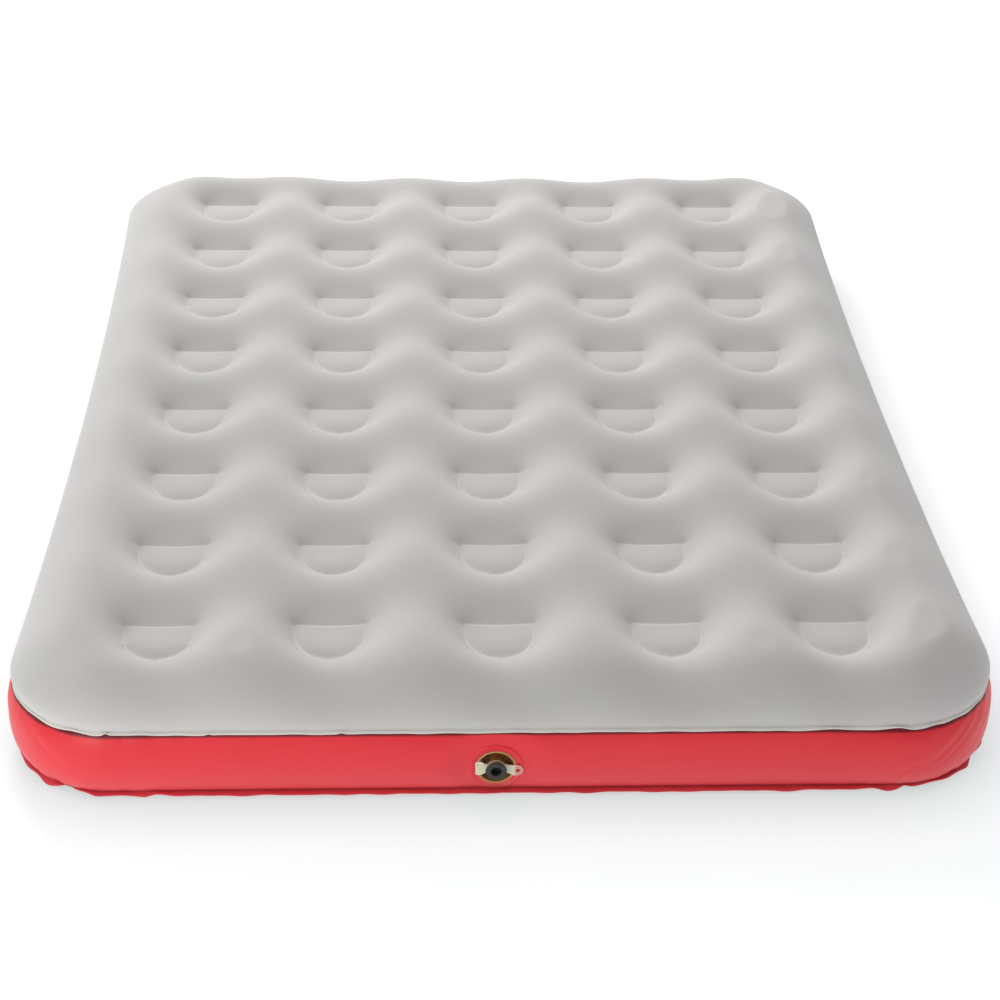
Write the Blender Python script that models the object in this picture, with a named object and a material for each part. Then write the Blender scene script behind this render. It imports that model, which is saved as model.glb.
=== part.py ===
"""Queen-size flocked air bed: two coil-welded sheets, a two-piece band, forty coil beams and a stopper valve.

Metres, +Z up. The origin is on the floor under the middle of the bed, and the valve end faces -Y.
"""

import math

import bmesh
import bpy
from mathutils import Matrix, Vector

# Bed, over the edges of its weld flanges
BED_WIDTH = 1.52
BED_LENGTH = 1.98
TOP_SEAM_HEIGHT = 0.120
BOTTOM_SEAM_HEIGHT = 0.008
SIDE_PULL = 0.0155
FLANGE_WIDTH = 0.011
TOP_CORNER_RADIUS = 0.173
BOTTOM_CORNER_RADIUS = 0.186
CORNER_STEPS = 6
LONG_SIDE_STEPS = 10
SHORT_SIDE_STEPS = 4
VALVE_PANEL_MARGIN = 0.190

# Coil weld pattern
COLUMNS = 5
ROWS = 8
SIDE_MARGIN = 0.106
END_MARGIN = 0.0872
PATTERN_SHIFT = -0.008
COIL_RADIUS = 0.0555
COIL_CHORD_OFFSET = 0.0265
COIL_ARC_STEPS = 9
DIMPLE_HEIGHT = 0.158
RIDGE_RISE = 0.038
SADDLE_SHARE = 0.84
SHOULDER_SHARE = 0.74

# Film
TOP_FILM = 0.0005
BOTTOM_FILM = 0.0004
BAND_FILM = 0.0004
COIL_FILM = 0.0003
GAP = 0.0003

# Bottom sheet
FOOT_INSET = 0.060

# Valve, on an axis square to the front wall
VALVE_SHIFT = -0.018
VALVE_HEIGHT = 0.050
CUP_RADIUS = 0.027
CUP_WALL = 0.0012
CUP_DEPTH = 0.024
CUP_FLOOR = 0.0015
RIM_WIDTH = 0.0018
RIM_THICKNESS = 0.0012
HOLE_CLEARANCE = 0.0003
COLLAR_WIDTH = 0.0105
COLLAR_THICKNESS = 0.0010
COLLAR_SLEEVE = 0.010
PLUG_RADIUS = 0.0120
SEAT_BORE = PLUG_RADIUS + 0.0004
SEAT_WALL = 0.0020
SEAT_RISE = 0.0070
RIB_COUNT = 6
RIB_THICKNESS = 0.0016
RIB_HEIGHT = 0.0045
TURNED_STEPS = 32

# Stopper, its strap and its pull tab
STRAP_THICKNESS = 0.0012
STRAP_HALF_HEIGHT = 0.0100
STRAP_EYE_WALL = 0.0032
STRAP_ROOT_LENGTH = 0.0036
HINGE_GAP = 0.0003
PLUG_SHOULDER = 0.0012
PLUG_SHOULDER_DEPTH = 0.0015
PLUG_NECK = 0.0070
PLUG_ENGAGEMENT = 0.0050
PLUG_TAPER = 0.0027
CAP_RADIUS = PLUG_RADIUS + 0.0040
CAP_THICKNESS = 0.0025
CAP_RECESS_RADIUS = PLUG_RADIUS - 0.0040
CAP_WALL = 0.0012
CAP_DEPTH = 0.0110
TAB_REACH = 0.0140
TAB_HOLE_RADIUS = 0.0030

# One-way flap behind the seat
FLAP_THICKNESS = 0.0008
FLAP_OVERLAP = 0.0020
FLAP_NECK_HALF_WIDTH = 0.0050
FLAP_ANCHOR_HEIGHT = 0.0062
RIVET_SHANK_RADIUS = 0.0010
RIVET_HEAD_RADIUS = 0.0022
RIVET_HEAD_THICKNESS = 0.0008

# Worked out from the sizes above
HALF_WIDTH = BED_WIDTH / 2
HALF_LENGTH = BED_LENGTH / 2
COLUMN_PITCH = (BED_WIDTH - 2 * SIDE_MARGIN) / COLUMNS
ROW_PITCH = (BED_LENGTH - 2 * END_MARGIN) / ROWS
CREST_HEIGHT = DIMPLE_HEIGHT + RIDGE_RISE
WALL_FRONT = -(HALF_LENGTH - FLANGE_WIDTH)
VALVE_PANEL_HALF_WIDTH = HALF_WIDTH - VALVE_PANEL_MARGIN
COLLAR_FRONT = WALL_FRONT + BAND_FILM + GAP
SLEEVE_RADIUS = CUP_RADIUS + CUP_WALL + HOLE_CLEARANCE
RIM_BACK = WALL_FRONT - GAP
RIM_FRONT = RIM_BACK - RIM_THICKNESS
RIM_RADIUS = SLEEVE_RADIUS + RIM_WIDTH
FLOOR_FRONT = RIM_FRONT + CUP_DEPTH
FLOOR_BACK = FLOOR_FRONT + CUP_FLOOR
SEAT_MOUTH = FLOOR_FRONT - SEAT_RISE
STRAP_BACK = RIM_FRONT - GAP
STRAP_FRONT = STRAP_BACK - STRAP_THICKNESS
STRAP_HINGE_REACH = -CUP_RADIUS
TAB_HINGE_REACH = CUP_RADIUS
STRAP_HOLE_RADIUS = PLUG_RADIUS + GAP
CAP_BACK = STRAP_FRONT - GAP - PLUG_NECK
FLAP_FRONT = FLOOR_BACK + GAP
FLAP_BACK = FLAP_FRONT + FLAP_THICKNESS
FLAP_RADIUS = SEAT_BORE + FLAP_OVERLAP
FLAP_HINGE_RISE = FLAP_RADIUS + 0.0010


def clear_scene():
    for obj in list(bpy.data.objects):
        bpy.data.objects.remove(obj, do_unlink=True)


def make_material(name, colour, roughness, metallic=0.0, alpha=1.0):
    material = bpy.data.materials.new(name)
    material.use_nodes = True
    shader = material.node_tree.nodes["Principled BSDF"]
    shader.inputs["Base Color"].default_value = (*colour, 1.0)
    shader.inputs["Roughness"].default_value = roughness
    shader.inputs["Metallic"].default_value = metallic
    shader.inputs["Alpha"].default_value = alpha
    return material


def finish_object(name, mesh, material, smooth_angle=math.radians(30)):
    """Turn a mesh into a named, shaded object."""
    mesh.materials.append(material)
    mesh.shade_smooth()
    mesh.set_sharp_from_angle(angle=smooth_angle)
    obj = bpy.data.objects.new(name, mesh)
    bpy.context.scene.collection.objects.link(obj)
    return obj


def mesh_from_faces(name, points, faces):
    mesh = bpy.data.meshes.new(name)
    mesh.from_pydata([tuple(point) for point in points], [], faces)
    mesh.update()
    return mesh


def add_film_thickness(obj, thickness):
    """Thicken a skin towards the inside of the bed."""
    solidify = obj.modifiers.new("film", "SOLIDIFY")
    solidify.thickness = thickness
    solidify.offset = -1.0
    solidify.use_even_offset = True


def hide_helper(obj):
    obj.hide_render = True
    obj.display_type = "WIRE"


def add_boolean(obj, helper, operation):
    boolean = obj.modifiers.new(helper.name, "BOOLEAN")
    boolean.operation = operation
    boolean.solver = "EXACT"
    boolean.object = helper


# Outline of the bed


def outline(inset, radius, height):
    """Rounded rectangle with sides that draw in at mid length, as points in order."""
    half_x = HALF_WIDTH - inset
    half_y = HALF_LENGTH - inset
    corner = radius - inset
    straights = (LONG_SIDE_STEPS, SHORT_SIDE_STEPS, LONG_SIDE_STEPS, SHORT_SIDE_STEPS)
    centres = (
        (half_x - corner, corner - half_y),
        (half_x - corner, half_y - corner),
        (corner - half_x, half_y - corner),
        (corner - half_x, corner - half_y),
    )
    points = []
    for quarter, (centre_x, centre_y) in enumerate(centres):
        for step in range(CORNER_STEPS + 1):
            angle = math.radians(90 * (quarter - 1 + step / CORNER_STEPS))
            points.append(
                Vector((centre_x + corner * math.cos(angle), centre_y + corner * math.sin(angle), height))
            )
        next_x, next_y = centres[(quarter + 1) % 4]
        turn = math.radians(90 * quarter)
        start = points[-1]
        end = Vector((next_x + corner * math.cos(turn), next_y + corner * math.sin(turn), height))
        for step in range(1, straights[quarter]):
            points.append(start.lerp(end, step / straights[quarter]))
    straight_end = half_y - corner
    for point in points:
        draw_in = max(0.0, 1 - (point.y / straight_end) ** 2) * SIDE_PULL
        point.x *= 1 - draw_in / HALF_WIDTH
    return points


def ring_band(lower, upper, count, closed=True):
    """Quads between two rings, or two open rows, of equally many points."""
    return [
        (lower + i, lower + (i + 1) % count, upper + (i + 1) % count, upper + i)
        for i in range(count if closed else count - 1)
    ]


def zip_rings(points, inner, outer, centre, stretch):
    """Triangles between two rings around one centre, joined in order of angle."""

    def angle_of(index):
        return math.atan2((points[index].y - centre.y) / stretch.y, (points[index].x - centre.x) / stretch.x)

    inner = sorted(inner, key=angle_of)
    outer = sorted(outer, key=angle_of)
    full_turn = 2 * math.pi
    faces = []
    i = 0
    j = 0
    while i < len(inner) or j < len(outer):
        next_inner = angle_of(inner[(i + 1) % len(inner)]) + full_turn * ((i + 1) // len(inner))
        next_outer = angle_of(outer[(j + 1) % len(outer)]) + full_turn * ((j + 1) // len(outer))
        here_inner = inner[i % len(inner)]
        here_outer = outer[j % len(outer)]
        if j >= len(outer) or (i < len(inner) and next_inner <= next_outer):
            faces.append((here_inner, here_outer, inner[(i + 1) % len(inner)]))
            i += 1
        else:
            faces.append((here_inner, here_outer, outer[(j + 1) % len(outer)]))
            j += 1
    return faces


def coil_centre(row, column):
    """Centre of one coil's arc. Row 1 is at the valve end, column 1 on the left."""
    across = (column - (COLUMNS + 1) / 2) * COLUMN_PITCH + PATTERN_SHIFT
    return Vector((across, (row - (ROWS + 1) / 2) * ROW_PITCH, 0.0))


def coil_section(radius):
    """D-shaped section: an arc around the front, closed by a straight chord at the back."""
    start = math.pi - math.asin(COIL_CHORD_OFFSET / COIL_RADIUS)
    sweep = 2 * math.pi - (math.pi - 2 * math.asin(COIL_CHORD_OFFSET / COIL_RADIUS))
    section = []
    for step in range(COIL_ARC_STEPS + 1):
        angle = start + sweep * step / COIL_ARC_STEPS
        section.append(Vector((radius * math.cos(angle), radius * math.sin(angle), 0.0)))
    return section


# Sheets and band


def lattice_height(i, j):
    """Crest height at a half-cell lattice point: highest where four cells meet."""
    share = 1.0 if i % 2 == 0 and j % 2 == 0 else SADDLE_SHARE
    on_edge = i in (0, 2 * COLUMNS) or j in (0, 2 * ROWS)
    return DIMPLE_HEIGHT + RIDGE_RISE * (SADDLE_SHARE if on_edge else share)


def top_sheet(material):
    points = []
    lattice = {}
    for i in range(2 * COLUMNS + 1):
        for j in range(2 * ROWS + 1):
            if i % 2 == 1 and j % 2 == 1:
                continue
            lattice[i, j] = len(points)
            points.append(
                Vector(
                    (
                        (i / 2 - COLUMNS / 2) * COLUMN_PITCH + PATTERN_SHIFT,
                        (j / 2 - ROWS / 2) * ROW_PITCH,
                        lattice_height(i, j),
                    )
                )
            )
    faces = []
    even = Vector((1.0, 1.0))
    for row in range(1, ROWS + 1):
        for column in range(1, COLUMNS + 1):
            centre = coil_centre(row, column)
            pad = []
            for corner in coil_section(COIL_RADIUS):
                pad.append(len(points))
                points.append(centre + corner + Vector((0, 0, DIMPLE_HEIGHT)))
            around = ((-1, -1), (0, -1), (1, -1), (1, 0), (1, 1), (0, 1), (-1, 1), (-1, 0))
            cell = [lattice[2 * column - 1 + di, 2 * row - 1 + dj] for di, dj in around]
            slope = []
            for index in cell:
                away = points[index] - centre
                edge = centre + Vector((away.x, away.y, 0)).normalized() * COIL_RADIUS
                foot = Vector((edge.x, edge.y, DIMPLE_HEIGHT))
                middle = foot.lerp(points[index], 0.5)
                middle.z = DIMPLE_HEIGHT + (points[index].z - DIMPLE_HEIGHT) * SHOULDER_SHARE
                slope.append(len(points))
                points.append(middle)
            faces.append(tuple(pad))
            faces += zip_rings(points, pad, slope, centre, even)
            faces += zip_rings(points, slope, cell, centre, even)

    border = [
        index for (i, j), index in lattice.items() if i in (0, 2 * COLUMNS) or j in (0, 2 * ROWS)
    ]
    seam_start = len(points)
    seam = outline(FLANGE_WIDTH, TOP_CORNER_RADIUS, TOP_SEAM_HEIGHT)
    points += seam
    shoulder_inset = (FLANGE_WIDTH + (HALF_LENGTH - ROWS * ROW_PITCH / 2)) / 2
    shoulder_height = TOP_SEAM_HEIGHT + (CREST_HEIGHT - TOP_SEAM_HEIGHT) * SHOULDER_SHARE
    shoulder_start = len(points)
    points += outline(shoulder_inset, TOP_CORNER_RADIUS, shoulder_height)
    edge_start = len(points)
    points += outline(0.0, TOP_CORNER_RADIUS, TOP_SEAM_HEIGHT)
    count = len(seam)
    origin = Vector((0.0, 0.0))
    bed = Vector((HALF_WIDTH, HALF_LENGTH))
    faces += zip_rings(points, border, range(shoulder_start, shoulder_start + count), origin, bed)
    faces += [face[::-1] for face in ring_band(shoulder_start, seam_start, count)]
    faces += [face[::-1] for face in ring_band(seam_start, edge_start, count)]

    obj = finish_object("top_sheet", mesh_from_faces("top_sheet", points, faces), material)
    mesh = bmesh.new()
    mesh.from_mesh(obj.data)
    bmesh.ops.recalc_face_normals(mesh, faces=mesh.faces)
    if sum(face.normal.z * face.calc_area() for face in mesh.faces) < 0:
        bmesh.ops.reverse_faces(mesh, faces=mesh.faces)
    mesh.to_mesh(obj.data)
    mesh.free()
    add_film_thickness(obj, TOP_FILM)
    return obj


def skin_from_rings(name, rings, material, thickness, closed=True, filled=False):
    """Skin through rings or open rows of equally many points, with the last ring filled if asked."""
    count = len(rings[0])
    points = [point for ring in rings for point in ring]
    faces = []
    for index in range(len(rings) - 1):
        faces += ring_band(index * count, (index + 1) * count, count, closed)
    if filled:
        faces.append(tuple(range((len(rings) - 1) * count, len(rings) * count)))
    obj = finish_object(name, mesh_from_faces(name, points, faces), material)
    add_film_thickness(obj, thickness)
    return obj


def bottom_sheet(material):
    rings = [
        outline(0.0, BOTTOM_CORNER_RADIUS, BOTTOM_SEAM_HEIGHT),
        outline(FLANGE_WIDTH, BOTTOM_CORNER_RADIUS, BOTTOM_SEAM_HEIGHT),
        outline(FOOT_INSET, BOTTOM_CORNER_RADIUS, 0.0),
    ]
    obj = skin_from_rings("bottom_sheet", rings, material, BOTTOM_FILM, filled=True)
    obj.data.flip_normals()
    return obj


def band_rows(row_at):
    """Four rows of points up the band's outer face, from the lower lip's edge to the upper lip's.

    Each lip's film lies between these points and the sheet that it is welded to.
    """
    lip_top = TOP_SEAM_HEIGHT - TOP_FILM - GAP - BAND_FILM
    lip_bottom = BOTTOM_SEAM_HEIGHT + BOTTOM_FILM + GAP + BAND_FILM
    return [
        row_at(0.0, BOTTOM_CORNER_RADIUS, lip_bottom),
        row_at(FLANGE_WIDTH, BOTTOM_CORNER_RADIUS, lip_bottom),
        row_at(FLANGE_WIDTH, TOP_CORNER_RADIUS, lip_top),
        row_at(0.0, TOP_CORNER_RADIUS, lip_top),
    ]


def side_wall(material):
    """Long strip of the band: both sides, the head end and all four corners."""

    def row_at(inset, radius, height):
        around = outline(inset, radius, height)[: 1 - SHORT_SIDE_STEPS]
        end = VALVE_PANEL_HALF_WIDTH + GAP
        first = Vector((end, around[0].y, height))
        last = Vector((-end, around[-1].y, height))
        return [first, *around, last]

    return skin_from_rings("side_wall", band_rows(row_at), material, BAND_FILM, closed=False)


def valve_panel(material):
    """Straight strip of the band across the foot end, with the hole for the valve."""

    def row_at(inset, radius, height):
        front = inset - HALF_LENGTH
        return [
            Vector((-VALVE_PANEL_HALF_WIDTH, front, height)),
            Vector((VALVE_PANEL_HALF_WIDTH, front, height)),
        ]

    obj = skin_from_rings("valve_panel", band_rows(row_at), material, BAND_FILM, closed=False)
    reach = FLANGE_WIDTH / 2
    profile = [
        (0.0, WALL_FRONT - reach),
        (SLEEVE_RADIUS, WALL_FRONT - reach),
        (SLEEVE_RADIUS, WALL_FRONT + reach),
        (0.0, WALL_FRONT + reach),
    ]
    cutter = turned("valve_hole", profile, material)
    hide_helper(cutter)
    add_boolean(obj, cutter, "DIFFERENCE")
    return obj


def coil_beams(material):
    """Forty open D-section tubes that stand between the sheets and hold them apart."""
    foot = BOTTOM_FILM + GAP
    head = DIMPLE_HEIGHT - TOP_FILM - GAP
    outer = coil_section(COIL_RADIUS)
    inner = coil_section(COIL_RADIUS - COIL_FILM)
    # The chord's film is measured square to the chord, so both chords stay parallel.
    inner[0].y = outer[0].y - COIL_FILM
    inner[-1].y = outer[-1].y - COIL_FILM
    count = len(outer)
    points = []
    for ring, height in ((outer, foot), (outer, head), (inner, head), (inner, foot)):
        points += [corner + Vector((0, 0, height)) for corner in ring]
    faces = []
    for index in range(4):
        faces += ring_band(index * count, (index + 1) % 4 * count, count)
    mesh = mesh_from_faces("coil_beam", points, faces)
    mesh.materials.append(material)
    beams = []
    for row in range(1, ROWS + 1):
        for column in range(1, COLUMNS + 1):
            beam = bpy.data.objects.new(f"coil_beam_r{row}_c{column}", mesh)
            beam.location = coil_centre(row, column)
            bpy.context.scene.collection.objects.link(beam)
            beams.append(beam)
    return beams


# Valve


def turned(name, profile, material, steps=TURNED_STEPS):
    """Body of revolution about the valve axis, from (radius, y) points in order round its section."""
    points = []
    rings = []
    for radius, y in profile:
        if radius == 0.0:
            rings.append([len(points)] * steps)
            points.append(Vector((VALVE_SHIFT, y, VALVE_HEIGHT)))
            continue
        rings.append(list(range(len(points), len(points) + steps)))
        for step in range(steps):
            angle = 2 * math.pi * step / steps
            across = VALVE_SHIFT + radius * math.cos(angle)
            points.append(Vector((across, y, VALVE_HEIGHT + radius * math.sin(angle))))
    faces = []
    for index, ring in enumerate(rings):
        following = rings[(index + 1) % len(rings)]
        for step in range(steps):
            after = (step + 1) % steps
            face = []
            for vertex in (ring[step], following[step], following[after], ring[after]):
                if vertex not in face:
                    face.append(vertex)
            if len(face) > 2:
                faces.append(tuple(face))
    obj = finish_object(name, mesh_from_faces(name, points, faces), material)
    mesh = bmesh.new()
    mesh.from_mesh(obj.data)
    bmesh.ops.recalc_face_normals(mesh, faces=mesh.faces)
    mesh.to_mesh(obj.data)
    mesh.free()
    return obj


def plate(name, loops, front, back, material):
    """Flat plate square to the valve axis, from (x, z) loops about it: the outside, then any hole."""
    mesh = bmesh.new()
    for loop in loops:
        corners = [mesh.verts.new((VALVE_SHIFT + x, back, VALVE_HEIGHT + z)) for x, z in loop]
        for first, second in zip(corners, corners[1:] + corners[:1]):
            mesh.edges.new((first, second))
    bmesh.ops.triangle_fill(mesh, edges=mesh.edges[:], use_beauty=True)
    result = bmesh.ops.extrude_face_region(mesh, geom=mesh.faces[:])
    moved = [item for item in result["geom"] if isinstance(item, bmesh.types.BMVert)]
    bmesh.ops.translate(mesh, verts=moved, vec=(0, front - back, 0))
    bmesh.ops.recalc_face_normals(mesh, faces=mesh.faces[:])
    data = bpy.data.meshes.new(name)
    mesh.to_mesh(data)
    mesh.free()
    return finish_object(name, data, material)


def arc(centre_x, radius, first, last, steps):
    """(x, z) points along an arc, angles in degrees."""
    points = []
    for step in range(steps + 1):
        angle = math.radians(first + (last - first) * step / steps)
        points.append((centre_x + radius * math.cos(angle), radius * math.sin(angle)))
    return points


def circle(centre_x, radius, steps):
    return arc(centre_x, radius, 0, 360, steps)[:-1]


def valve_collar(material):
    """Soft ring welded to the inner face of the band, with the sleeve that grips the cup."""
    outer = SLEEVE_RADIUS + COLLAR_WIDTH
    sleeve = SLEEVE_RADIUS + CUP_WALL
    weld_back = COLLAR_FRONT + COLLAR_THICKNESS
    sleeve_back = weld_back + COLLAR_SLEEVE
    profile = [
        (SLEEVE_RADIUS, COLLAR_FRONT),
        (outer, COLLAR_FRONT),
        (outer, weld_back),
        (sleeve, weld_back),
        (sleeve, sleeve_back),
        (SLEEVE_RADIUS, sleeve_back),
    ]
    return turned("valve_collar", profile, material)


def valve_body(material):
    """Cup with a rim, a floor, and a raised seat bored for the stopper, stiffened by ribs."""
    cup_outer = CUP_RADIUS + CUP_WALL
    seat_outer = SEAT_BORE + SEAT_WALL
    profile = [
        (CUP_RADIUS, RIM_FRONT),
        (RIM_RADIUS, RIM_FRONT),
        (RIM_RADIUS, RIM_BACK),
        (cup_outer, RIM_BACK),
        (cup_outer, FLOOR_BACK),
        (SEAT_BORE, FLOOR_BACK),
        (SEAT_BORE, SEAT_MOUTH),
        (seat_outer, SEAT_MOUTH),
        (seat_outer, FLOOR_FRONT),
        (CUP_RADIUS, FLOOR_FRONT),
    ]
    body = turned("valve_body", profile, material)
    bite = CUP_WALL / 2
    start = seat_outer - bite
    end = CUP_RADIUS + bite
    mesh = bmesh.new()
    for index in range(RIB_COUNT):
        turn = Matrix.Rotation(2 * math.pi * (index + 0.5) / RIB_COUNT, 4, "Y")
        size = Matrix.Diagonal((end - start, RIB_HEIGHT + bite, RIB_THICKNESS, 1))
        shift = Matrix.Translation(((start + end) / 2, FLOOR_FRONT + bite - (RIB_HEIGHT + bite) / 2, 0))
        lift = Matrix.Translation((VALVE_SHIFT, 0, VALVE_HEIGHT))
        bmesh.ops.create_cube(mesh, size=1.0, matrix=lift @ turn @ shift @ size)
    data = bpy.data.meshes.new("valve_ribs")
    mesh.to_mesh(data)
    mesh.free()
    ribs = finish_object("valve_ribs", data, material)
    hide_helper(ribs)
    add_boolean(body, ribs, "UNION")
    return body


def pivot(name, x, y, z):
    """Empty on a joint's axis, which the pieces that turn there hang from."""
    empty = bpy.data.objects.new(name, None)
    empty.location = (x, y, z)
    bpy.context.scene.collection.objects.link(empty)
    return empty


def hang(piece, parent, place):
    piece.parent = parent
    piece.matrix_parent_inverse = Matrix.Translation(-Vector(place))


def strap_root(material):
    """Fixed end of the strap, welded to the cup's rim at the left."""
    right = STRAP_HINGE_REACH - HINGE_GAP
    left = right - STRAP_ROOT_LENGTH
    loop = [
        (left, -STRAP_HALF_HEIGHT),
        (right, -STRAP_HALF_HEIGHT),
        (right, STRAP_HALF_HEIGHT),
        (left, STRAP_HALF_HEIGHT),
    ]
    return plate("strap_root", [loop], STRAP_FRONT, STRAP_BACK, material)


def stopper_strap(material):
    """Strap across the valve, with the eye that holds the plug."""
    eye = STRAP_HOLE_RADIUS + STRAP_EYE_WALL
    rise = math.degrees(math.asin(STRAP_HALF_HEIGHT / eye))
    left = STRAP_HINGE_REACH + HINGE_GAP
    right = TAB_HINGE_REACH - HINGE_GAP
    outside = [(left, STRAP_HALF_HEIGHT), (left, -STRAP_HALF_HEIGHT)]
    outside += arc(0.0, eye, 180 + rise, 360 - rise, 8)
    outside += [(right, -STRAP_HALF_HEIGHT), (right, STRAP_HALF_HEIGHT)]
    outside += arc(0.0, eye, rise, 180 - rise, 8)
    hole = circle(0.0, STRAP_HOLE_RADIUS, 24)
    return plate("stopper_strap", [outside, hole], STRAP_FRONT, STRAP_BACK, material)


def pull_tab(material):
    """Round-ended finger tab with a small hole, at the strap's free end."""
    left = TAB_HINGE_REACH + HINGE_GAP
    middle = TAB_HINGE_REACH + TAB_REACH - STRAP_HALF_HEIGHT
    outside = [(left, STRAP_HALF_HEIGHT), (left, -STRAP_HALF_HEIGHT)]
    outside += arc(middle, STRAP_HALF_HEIGHT, -90, 90, 12)
    hole = circle(middle, TAB_HOLE_RADIUS, 12)
    return plate("pull_tab", [outside, hole], STRAP_FRONT, STRAP_BACK, material)


def stopper_plug(material):
    """Hollow plug through the strap's eye, tapered so that it leaves the seat on the strap's arc."""
    front = CAP_BACK + GAP
    shoulder = PLUG_RADIUS + PLUG_SHOULDER
    back_shoulder = STRAP_BACK + GAP + PLUG_SHOULDER_DEPTH
    tip = SEAT_MOUTH + PLUG_ENGAGEMENT
    bore = CAP_RECESS_RADIUS + CAP_WALL + GAP
    bore_end = CAP_BACK + CAP_DEPTH + GAP
    profile = [
        (bore, front),
        (shoulder, front),
        (shoulder, STRAP_FRONT - GAP),
        (PLUG_RADIUS, STRAP_FRONT - GAP),
        (PLUG_RADIUS, STRAP_BACK + GAP),
        (shoulder, STRAP_BACK + GAP),
        (shoulder, back_shoulder),
        (PLUG_RADIUS, back_shoulder),
        (PLUG_RADIUS, SEAT_MOUTH),
        (PLUG_RADIUS - PLUG_TAPER, tip),
        (0.0, tip),
        (0.0, bore_end),
        (bore, bore_end),
    ]
    return turned("stopper_plug", profile, material, steps=24)


def stopper_cap(material):
    """Round cap with a deep finger recess, whose cup fits inside the plug."""
    front = CAP_BACK - CAP_THICKNESS
    cup_back = CAP_BACK + CAP_DEPTH
    cup_outer = CAP_RECESS_RADIUS + CAP_WALL
    profile = [
        (CAP_RECESS_RADIUS, front),
        (CAP_RADIUS, front),
        (CAP_RADIUS, CAP_BACK),
        (cup_outer, CAP_BACK),
        (cup_outer, cup_back),
        (0.0, cup_back),
        (0.0, cup_back - CAP_WALL),
        (CAP_RECESS_RADIUS, cup_back - CAP_WALL),
    ]
    return turned("stopper_cap", profile, material, steps=24)


def check_flap(material):
    """Round one-way flap that closes the seat from inside, with a short neck at the top."""
    neck_angle = math.degrees(math.asin(FLAP_NECK_HALF_WIDTH / FLAP_RADIUS))
    loop = arc(0.0, FLAP_RADIUS, 90 + neck_angle, 450 - neck_angle, 22)
    top = FLAP_HINGE_RISE - HINGE_GAP
    loop += [(FLAP_NECK_HALF_WIDTH, top), (-FLAP_NECK_HALF_WIDTH, top)]
    return plate("check_flap", [loop], FLAP_FRONT, FLAP_BACK, material)


def flap_anchor(material):
    """Fixed strip above the flap, held to the cup's floor by the rivet."""
    low = FLAP_HINGE_RISE + HINGE_GAP
    high = low + FLAP_ANCHOR_HEIGHT
    half = FLAP_NECK_HALF_WIDTH
    loop = [(-half, low), (half, low), (half, high), (-half, high)]
    hole = [(x, z + (low + high) / 2) for x, z in circle(0.0, RIVET_SHANK_RADIUS + GAP, 12)]
    return plate("flap_anchor", [loop, hole], FLAP_FRONT, FLAP_BACK, material)


def flap_rivet(material):
    """Headed rivet through the anchor strip, standing on the cup's floor."""
    low = FLAP_HINGE_RISE + HINGE_GAP
    rise = low + FLAP_ANCHOR_HEIGHT / 2
    head_front = FLAP_BACK + GAP
    profile = [
        (0.0, FLAP_FRONT),
        (RIVET_SHANK_RADIUS, FLAP_FRONT),
        (RIVET_SHANK_RADIUS, head_front),
        (RIVET_HEAD_RADIUS, head_front),
        (RIVET_HEAD_RADIUS, head_front + RIVET_HEAD_THICKNESS),
        (0.0, head_front + RIVET_HEAD_THICKNESS),
    ]
    rivet = turned("flap_rivet", profile, material, steps=12)
    rivet.data.transform(Matrix.Translation((0, 0, rise)))
    return rivet


def build_valve(clear_vinyl, amber, black):
    valve_collar(clear_vinyl)
    valve_body(amber)
    strap_root(clear_vinyl)
    flap_anchor(clear_vinyl)
    flap_rivet(clear_vinyl)

    stopper_place = (VALVE_SHIFT + STRAP_HINGE_REACH, STRAP_FRONT, VALVE_HEIGHT)
    tab_place = (VALVE_SHIFT + TAB_HINGE_REACH, STRAP_FRONT, VALVE_HEIGHT)
    flap_place = (VALVE_SHIFT, (FLAP_FRONT + FLAP_BACK) / 2, VALVE_HEIGHT + FLAP_HINGE_RISE)
    stopper_pivot = pivot("stopper_pivot", *stopper_place)
    for piece in (stopper_strap(clear_vinyl), stopper_plug(amber), stopper_cap(black)):
        hang(piece, stopper_pivot, stopper_place)
    hang(pull_tab(clear_vinyl), pivot("tab_pivot", *tab_place), tab_place)
    hang(check_flap(clear_vinyl), pivot("flap_pivot", *flap_place), flap_place)


def build():
    clear_scene()
    flock = make_material("grey_flock", (0.54, 0.52, 0.51), 0.95)
    red = make_material("red_vinyl", (0.82, 0.035, 0.045), 0.35)
    coil = make_material("coil_film", (0.60, 0.60, 0.58), 0.45)
    clear_vinyl = make_material("clear_vinyl", (0.84, 0.78, 0.62), 0.35)
    amber = make_material("amber_vinyl", (0.42, 0.22, 0.07), 0.30)
    black = make_material("black_rubber", (0.02, 0.02, 0.022), 0.45)
    top_sheet(flock)
    side_wall(red)
    valve_panel(red)
    bottom_sheet(red)
    coil_beams(coil)
    build_valve(clear_vinyl, amber, black)


build()
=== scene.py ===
import math

import bmesh
import bpy
import numpy as np
from mathutils import Matrix, Vector


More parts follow.
